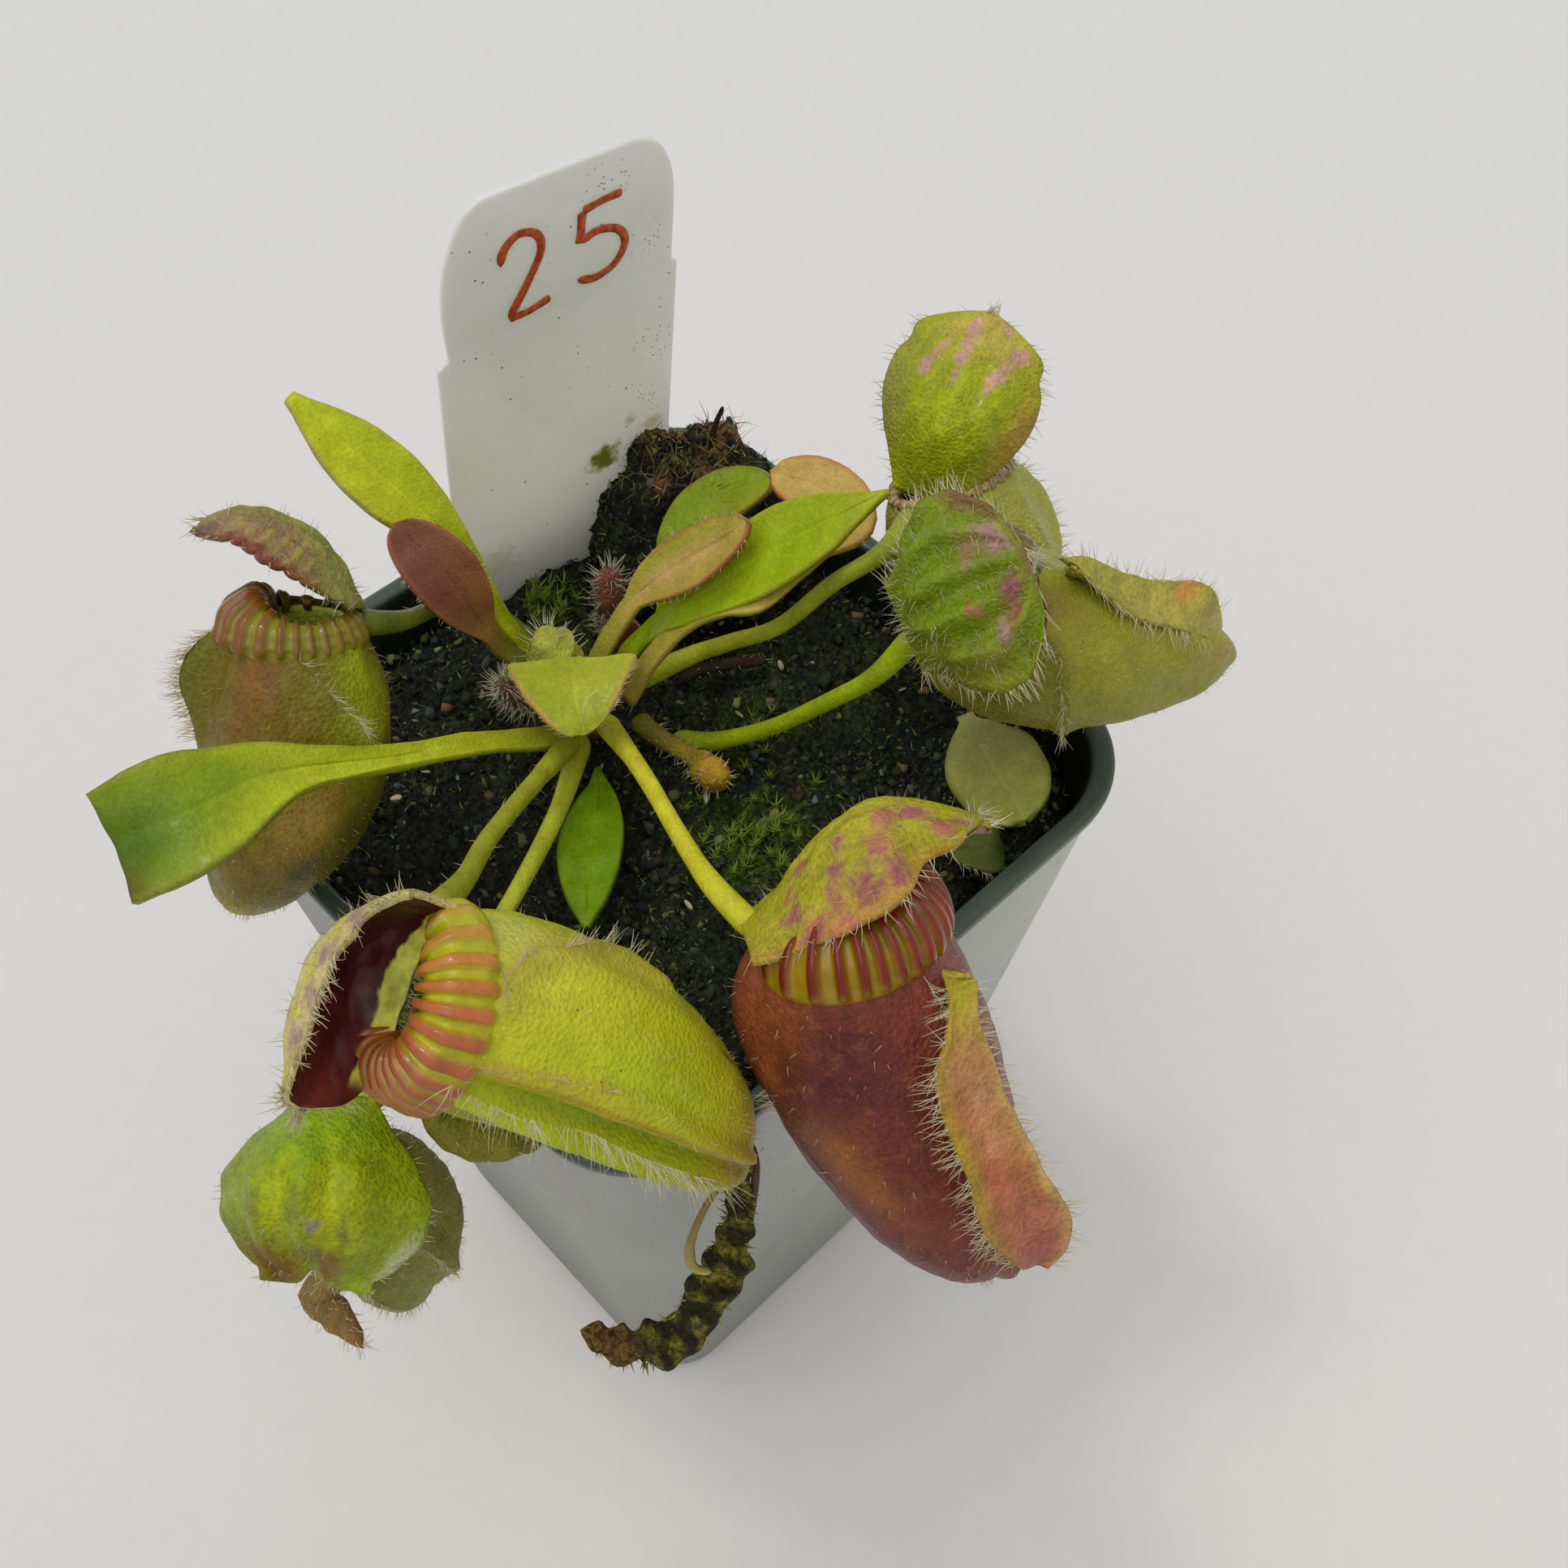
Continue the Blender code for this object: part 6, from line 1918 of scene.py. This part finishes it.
add_leaf(
    "peach_leaf", route=[
        (0, 4, 85.6), (1.6, 2.9, 90.1), (4.2, 1.2, 94.3), (6.1, -1.2, 96.5), (7.7, -3.3, 97.6),
        (11.6, -3.4, 98.3), (15.4, -3.1, 98.5), (18.1, -2.1, 98.3), (19, 1.5, 98.3), (17.6, 5.7, 98.2)],
    width=4.6, petiole=0.66, base=(182, 152, 72),
    patches=[(0, 0.3, 2, 0.3, (170, 164, 66), 0.8), (0, 0.85, 1.2, 0.12, (186, 158, 84), 0.8)],
    edge=(176, 104, 66), hairs=(20, 0.4))
print(len(LEAVES), "leaves listed")

# %% [markdown]
# ## Low and small leaves
# The last ones lie low on the peat or are still very small.

# %% Low and small leaves
add_leaf(
    "front_leaf", route=[(-4.8, 2.5, 82), (-7.1, -0.4, 82.9), (-11.3, -4.4, 84), (-15.9, -9.4, 84.1)],
    up=(-0.42, -0.4, 0.81), petiole=0.05, widths=[0.3, 1.3, 2.6, 3.8, 4.6, 5, 5.1, 4.7, 3.8, 2.4, 0.4],
    base=(116, 150, 10), patches=[(-0.7, 0.5, 0.5, 0.6, (98, 132, 8), 0.7)], edge=(104, 130, 20))
add_leaf(
    "pale_leaf",
    route=[(21.5, -14.4, 81.6), (19.2, -18.6, 82.5), (17.6, -22.4, 82.8), (16.8, -25.2, 82.2)],
    up=(-0.42, -0.4, 0.81), width=7, petiole=0.05, widest=0.55, tip=3, base=(158, 158, 84),
    patches=[(0, 0.2, 1.5, 0.25, (150, 146, 92), 0.7), (0, 0.9, 1.2, 0.2, (146, 156, 44), 0.6)],
    edge=(110, 116, 44))
add_leaf(
    "small_hairy_leaf",
    route=[(14, -25.2, 80.6), (12.8, -25, 82.2), (11.4, -24.2, 83), (9.8, -23.2, 83)],
    up=(-0.25, -0.23, 0.99), width=3.4, petiole=0.1, widest=0.45, base=(82, 92, 38), edge=(96, 96, 44),
    hairs=(60, 0.9))
add_leaf(
    "tiny_red_leaf", route=[(2, 7.6, 87.4), (2, 6.9, 89.6), (2.7, 6.2, 91.6)], up=(-0.02, -0.71, 0.74),
    width=2.2, petiole=0.1, base=(132, 62, 50), edge=(150, 80, 60), thick=0.35, hairs=(20, 0.4))
print(len(LEAVES), "leaves listed")

# %% [markdown]
# ## Leaf skins
# A leaf's skin is charted from edge to edge (-1 to 1) and from its foot (0) to its tip (1). Its
# half width comes from a few widths along it, or from a plain swelling and taper.

# %% Leaf skins
def leaf_skin(leaf, x, y):
    """Points of a leaf's middle sheet: x from -1 to 1 across, y from the foot to the tip."""
    line = even_route(leaf["route"], 80)
    ahead = unit(np.gradient(line, axis=0))
    forward = unit(on_route(ahead, y))
    side = unit(np.cross(forward, np.array(leaf["up"])))
    face = np.cross(side, forward)
    blade = np.clip((y - leaf["petiole"]) / (1 - leaf["petiole"]), 0, 1)
    if "widths" in leaf:
        even = np.linspace(0, 1, len(leaf["widths"]))
        half = sum(np.interp(y + k, even, leaf["widths"]) for k in (-0.04, 0, 0.04)) / 6
    else:
        swell = np.sin(np.pi / 2 * np.clip(blade / leaf["widest"], 0, 1)) ** 1.1
        past = np.clip((blade - leaf["widest"]) / (1 - leaf["widest"]), 0, 1)
        taper = np.sqrt(np.clip(1 - past ** leaf["tip"], 0, 1))
        share = np.where(blade < leaf["widest"], swell, taper)
        half = 0.75 * np.sqrt(1 - blade) + leaf["width"] / 2 * share
    half = np.maximum(half, 0.12)
    rib = -0.12 * np.exp(-(x / 0.07) ** 2) * smooth(blade, 0.0, 0.2) * smooth(1 - blade, 0, 0.2)
    lift = 0.15 * x ** 2 * half + rib
    middle = on_route(line, y)
    lift = lift + 0.10 * ripple(middle + side * (x * half)[:, None], 3.2, 81)
    return middle + side * (x * half)[:, None] + face * lift[:, None], face


def leaf_rule(leaf):
    def rule(u, v):
        x, y = 2 * u - 1, v
        points, _ = leaf_skin(leaf, x, y)
        tints = painted(leaf["base"], x, y, leaf["patches"])
        rim = (smooth(np.abs(x), 0.86, 0.99) * smooth(y, leaf["petiole"], 1.0) ** 0.3)[:, None]
        tints += 0.85 * rim * (tone(*leaf["edge"]) - tints)
        rib = np.exp(-(x / 0.06) ** 2)[:, None] * smooth(y, 0.2, 0.4)[:, None]
        return points, tints * (1 + 0.16 * rib)
    return rule


def leaf_finish(name):
    finish = Finish(name, 0.34, 0.06, 0.14)
    cloud = finish.noise(1.6, detail=5.0)
    grain = finish.cells(0.26)
    fine = finish.noise(0.5, detail=3.0, rough=0.7)
    shade = cloud.step(0.25, 0.75) * 0.20 + grain * 0.24 + fine.step(0.3, 0.7) * 0.16 + 0.74
    colour = finish.scaled(finish.tint(), shade)
    specks = finish.specks(0.8, 0.05, 0.11, finish.noise(2.6, detail=2.0).step(0.55, 0.66))
    finish.give("Base Color", finish.mix(colour, tone(72, 66, 28), specks * 0.6))
    finish.bump(grain * 0.6 + cloud, 0.07)
    return finish


def edge_hairs(leaf, count, dice, length):
    """Short hairs along a leaf's edge."""
    y = dice.uniform(leaf["petiole"] + 0.05, 0.99, count)
    x = np.sign(dice.uniform(-1, 1, count))
    roots, face = leaf_skin(leaf, x, y)
    inner, _ = leaf_skin(leaf, 0.7 * x, y)
    return (roots, unit(roots - inner) + 0.3 * face + 0.3 * dice.normal(size=(count, 3)),
            length * dice.uniform(0.5, 1.1, count), 0.035, tone(206, 198, 160))


for seed, (name, leaf) in enumerate(LEAVES.items()):
    slot = name + "_skin"
    made = piece(name + "_blade", skin(24, 56, leaf_rule(leaf)), leaf_finish(slot), slot, name)
    thicken(made, leaf["thick"], 0.0)
    if leaf["hairs"]:
        count, length = leaf["hairs"]
        dice = default_rng(200 + seed)
        hair_coat(name + "_hairs", [edge_hairs(leaf, count, dice, length)], slot)
print(len(LEAVES), "flat leaves made")

# %% [markdown]
# ## Shoots' measures
# Leaves and stalks meet in a short scaly crown. Round it stand young traps, still closed and
# covered in white hairs, a runner with a new bud, a twig and a root. Each is a rod along a
# route whose thickness changes.

# %% Shoots' measures
LOOSE = ("toe_tip", "collar_flap")
SHOOTS = {}


def add_shoot(name, **measures):
    """Lists a shoot: its route, radii, tones at both ends, and its hairs and their length."""
    SHOOTS[name] = measures


add_shoot(
    "young_pitcher", route=[(-3.2, 6.9, 89.2), (-3.7, 7.3, 90.6), (-4.2, 7.7, 92.4), (-4.4, 7.9, 94)],
    radii=[0.8, 1.9, 2, 1], low=(150, 152, 30), high=(160, 162, 60), hairs=150, long=1.4)
add_shoot(
    "purple_bud",
    route=[(3.7, 11.8, 82.1), (4.2, 12, 84.5), (4.6, 11.9, 87.1), (5, 11.8, 89.2), (5.3, 11.8, 91)],
    radii=[0.5, 0.5, 0.55, 0.8, 1.3, 1.35, 0.7], low=(96, 96, 30), high=(116, 62, 54), hairs=300,
    long=1.5)
add_shoot(
    "white_bud", route=[(-6.5, 7.1, 87.2), (-7.5, 7.4, 88.8), (-8.5, 7.8, 90.4), (-9.1, 8, 92)],
    radii=[0.5, 0.8, 1.15, 0.6], low=(84, 64, 44), high=(92, 62, 50), hairs=330, long=1.6)
add_shoot(
    "stolon", route=[
        (0.6, 4.4, 82.2), (1.4, 2.4, 81.2), (2.1, -1, 81), (1.7, -3.6, 81.6), (1.4, -4.9, 82.6),
        (1.2, -5.6, 83.5), (1.1, -6, 84.3)],
    radii=[0.9, 0.9, 0.8, 0.8, 1.45, 1.4, 0.7], low=(108, 106, 34), high=(176, 138, 36), hairs=170,
    long=1)
add_shoot(
    "black_twig", route=[(19.4, 15, 91), (20.2, 15.3, 94.6), (21, 15, 97)], radii=[0.3, 0.33, 0.16],
    low=(34, 28, 22), high=(44, 34, 26), hairs=0, long=0)
add_shoot(
    "toe_tip", route=[
        (-39.3, -13.8, 78), (-39.9, -13.1, 72.4), (-43.7, -12, 69.9), (-46, -12.1, 68.1),
        (-45.8, -13.4, 67.6), (-45.6, -14.9, 66.6), (-45.6, -16.6, 65.4)],
    radii=[1.4, 1.9, 1.7, 1.4, 1.3, 1.2, 0.4], low=(120, 118, 50), high=(134, 98, 60), hairs=260,
    long=1.1)
add_shoot(
    "collar_flap",
    route=[(-34.4, -16.9, 92), (-34.5, -17.1, 90.6), (-32.9, -19.9, 88.8), (-29.5, -21.3, 87.4)],
    radii=[0.8, 1.4, 1.4, 0.9], low=(112, 108, 34), high=(124, 116, 38), hairs=90, long=0.8)
add_shoot(
    "brown_root", route=[(6.8, 5.7, 80.4), (8.5, 5.1, 81.1), (11.2, 3.7, 81.2), (14, 2.1, 80.8)],
    radii=[0.5, 0.6, 0.6, 0.4], low=(44, 34, 26), high=(58, 42, 32), hairs=60, long=0.5)
print(len(SHOOTS), "shoots listed")

# %% [markdown]
# ## Shoots and the crown
# The loose scraps, a dead toe and a flap, stand for no part of the solid model. Every other
# shoot stands for a part of its own.

# %% Shoots and the crown
def shoot_hairs(shoot, dice):
    """Hairs all round a shoot, thickest towards its tip."""
    count, line = shoot["hairs"], even_route(shoot["route"], 60)
    v = dice.uniform(0.1, 1.0, count) ** 0.8
    out = unit(dice.normal(size=(count, 3)))
    radius = np.interp(v, np.linspace(0, 1, len(shoot["radii"])), shoot["radii"])
    lift = unit(on_route(np.gradient(line, axis=0), v))
    return (on_route(line, v) + (0.9 * radius)[:, None] * out, out + 0.5 * lift,
            shoot["long"] * dice.uniform(0.5, 1.1, count), 0.04,
            blend(tone(226, 222, 206), tone(196, 186, 150), dice.uniform(size=(count, 1))))


for seed, (name, shoot) in enumerate(SHOOTS.items()):
    bm = rod(shoot["route"], shoot["radii"], 20, 48, 1.0, (1, 0.2, 0.1),
             two_tone(shoot["low"], shoot["high"]), lumpy=0.12)
    slot, node = ("lower_left_skin", None) if name in LOOSE else (name + "_skin", name)
    piece(name + "_shoot", bm, flesh(name + "_skin", 0.05, 0.3, roughness=0.55), slot, node)
    if shoot["hairs"]:
        dice = default_rng(300 + seed)
        hair_coat(name + "_hairs", [shoot_hairs(shoot, dice)], slot)


def build_crown():
    def tints(u, v, points):
        green = smooth(ripple(points, 1.8, 91), -0.3, 0.6)[:, None]
        return over(tone(96, 78, 44), (140, 146, 44), green)
    bm = rod([(-1.9, 6.8, 80.2), (-1.9, 6.8, 84.6), (-1.9, 6.8, 89.0)], [1.3, 1.8, 1.2], 24, 32,
             1.0, (1, 0, 0), tints, lumpy=0.16)
    piece("crown_core", bm, flesh("crown_skin", 0.0, 0.4, roughness=0.6), "crown_skin", "crown")
    dice = default_rng(320)
    out = unit(dice.normal(size=(140, 3)))
    out[:, 2] = np.abs(out[:, 2])
    spots = np.array((-1.9, 6.8, 86.0)) + out * (1.7, 1.7, 3.4)
    hair_coat("crown_hairs", [surface_hairs(spots, out, dice, (0.5, 1.2))], "crown_skin")


build_crown()
print(len(SHOOTS), "shoots and the crown made")

# %% [markdown]
# ## Hanging strand
# A dead runner overgrown with moss hangs over the pot's front corner. It is a flat lumpy rod
# with frilled yellow-green edges, a thin loop beside it and a dry brown curl at its end.

# %% Hanging strand
STRAND = [(-17.8, -25.7, 80.6), (-18.2, -26.2, 84.4), (-18.8, -28.2, 85.2), (-19.9, -30.4, 85.0),
          (-21.0, -31.8, 82.6), (-23.2, -32.8, 75.0), (-25.6, -32.6, 68.0), (-28.2, -31.4, 62.6),
          (-30.6, -28.8, 60.6), (-32.4, -25.6, 61.6)]
LOOP = [(-20.6, -31.2, 83.0), (-22.2, -30.9, 82.6), (-24.0, -30.9, 80.4), (-25.4, -31.2, 77.4),
        (-25.6, -31.8, 75.0), (-24.6, -32.6, 73.8)]
MOSS_WIDTHS = [0.5, 0.6, 0.7, 0.8, 1.0, 1.5, 1.25, 1.5, 1.2, 0.5]


def strand_tints(u, v, points):
    moss = smooth(ripple(points, 2.2, 92), -0.2, 0.5)[:, None]
    dry = smooth(v, 0.80, 0.95)[:, None]
    return over(over(tone(36, 33, 14), (92, 88, 26), moss), (92, 66, 34), dry)


def build_strand():
    bm = rod(STRAND, [0.5, 0.6, 0.7, 0.8, 1.2, 1.7, 1.4, 1.6, 1.7, 0.6], 28, 130, 0.5,
             tuple(TOWARDS_VIEW), strand_tints, lumpy=0.42)
    piece("mossy_strand", bm, peat_finish("hanging_strand_skin", (96, 74, 30)),
          "hanging_strand_skin", "hanging_strand")
    stem = [(x + 0.9, y - 0.5, z + 0.1) for x, y, z in STRAND[3:9]]
    bm = rod(stem, [0.3, 0.34, 0.3, 0.26], 10, 60, 1.0, tints=two_tone((70, 48, 28), (96, 68, 36)))
    piece("strand_stem", bm, STALK, "hanging_strand_skin")
    bm = rod(LOOP, [0.22, 0.26, 0.3, 0.42, 0.3], 10, 60, 0.8,
             tints=two_tone((96, 66, 30), (176, 158, 90)))
    piece("strand_loop", bm, STALK, "hanging_strand_skin")


def strew_strand(count):
    """Moss leaves on the strand's front, paler towards its edges."""
    dice = default_rng(330)
    v = dice.uniform(0.3, 0.97, count)
    line = even_route(STRAND, 80)
    across = unit(np.cross(on_route(np.gradient(line, axis=0), v), TOWARDS_VIEW))
    side = dice.uniform(-1, 1, count)
    wide = np.interp(v, np.linspace(0, 1, len(MOSS_WIDTHS)), MOSS_WIDTHS)
    spots = on_route(line, v) + across * (side * wide)[:, None]
    ways = across * side[:, None] + 0.6 * TOWARDS_VIEW + 0.7 * dice.normal(size=(count, 3))
    edge = smooth(np.abs(side), 0.5, 0.95)[:, None]
    tints = tone(60, 62, 20) + edge * (tone(150, 146, 60) - tone(60, 62, 20))
    tints = tints * dice.uniform(0.6, 1.3, (count, 1))
    copies("strand_moss", "leaflet", spots, ways, dice.uniform(0.4, 1.1, count), 0.16, tints,
           CRUMB, "hanging_strand_skin", bend=0.3)
    return count


build_strand()
print("moss on the strand:", strew_strand(700), "leaflets")

# %% [markdown]
# ## Size and finish
# The box that the shown pieces fill and their count of faces are printed.

# %% Size and finish
low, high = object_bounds()
total = sum(len(o.data.polygons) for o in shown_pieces() if o.type == "MESH")
print("scene box, mm:", [round(1000 * v, 1) for v in high - low], "faces:", total)
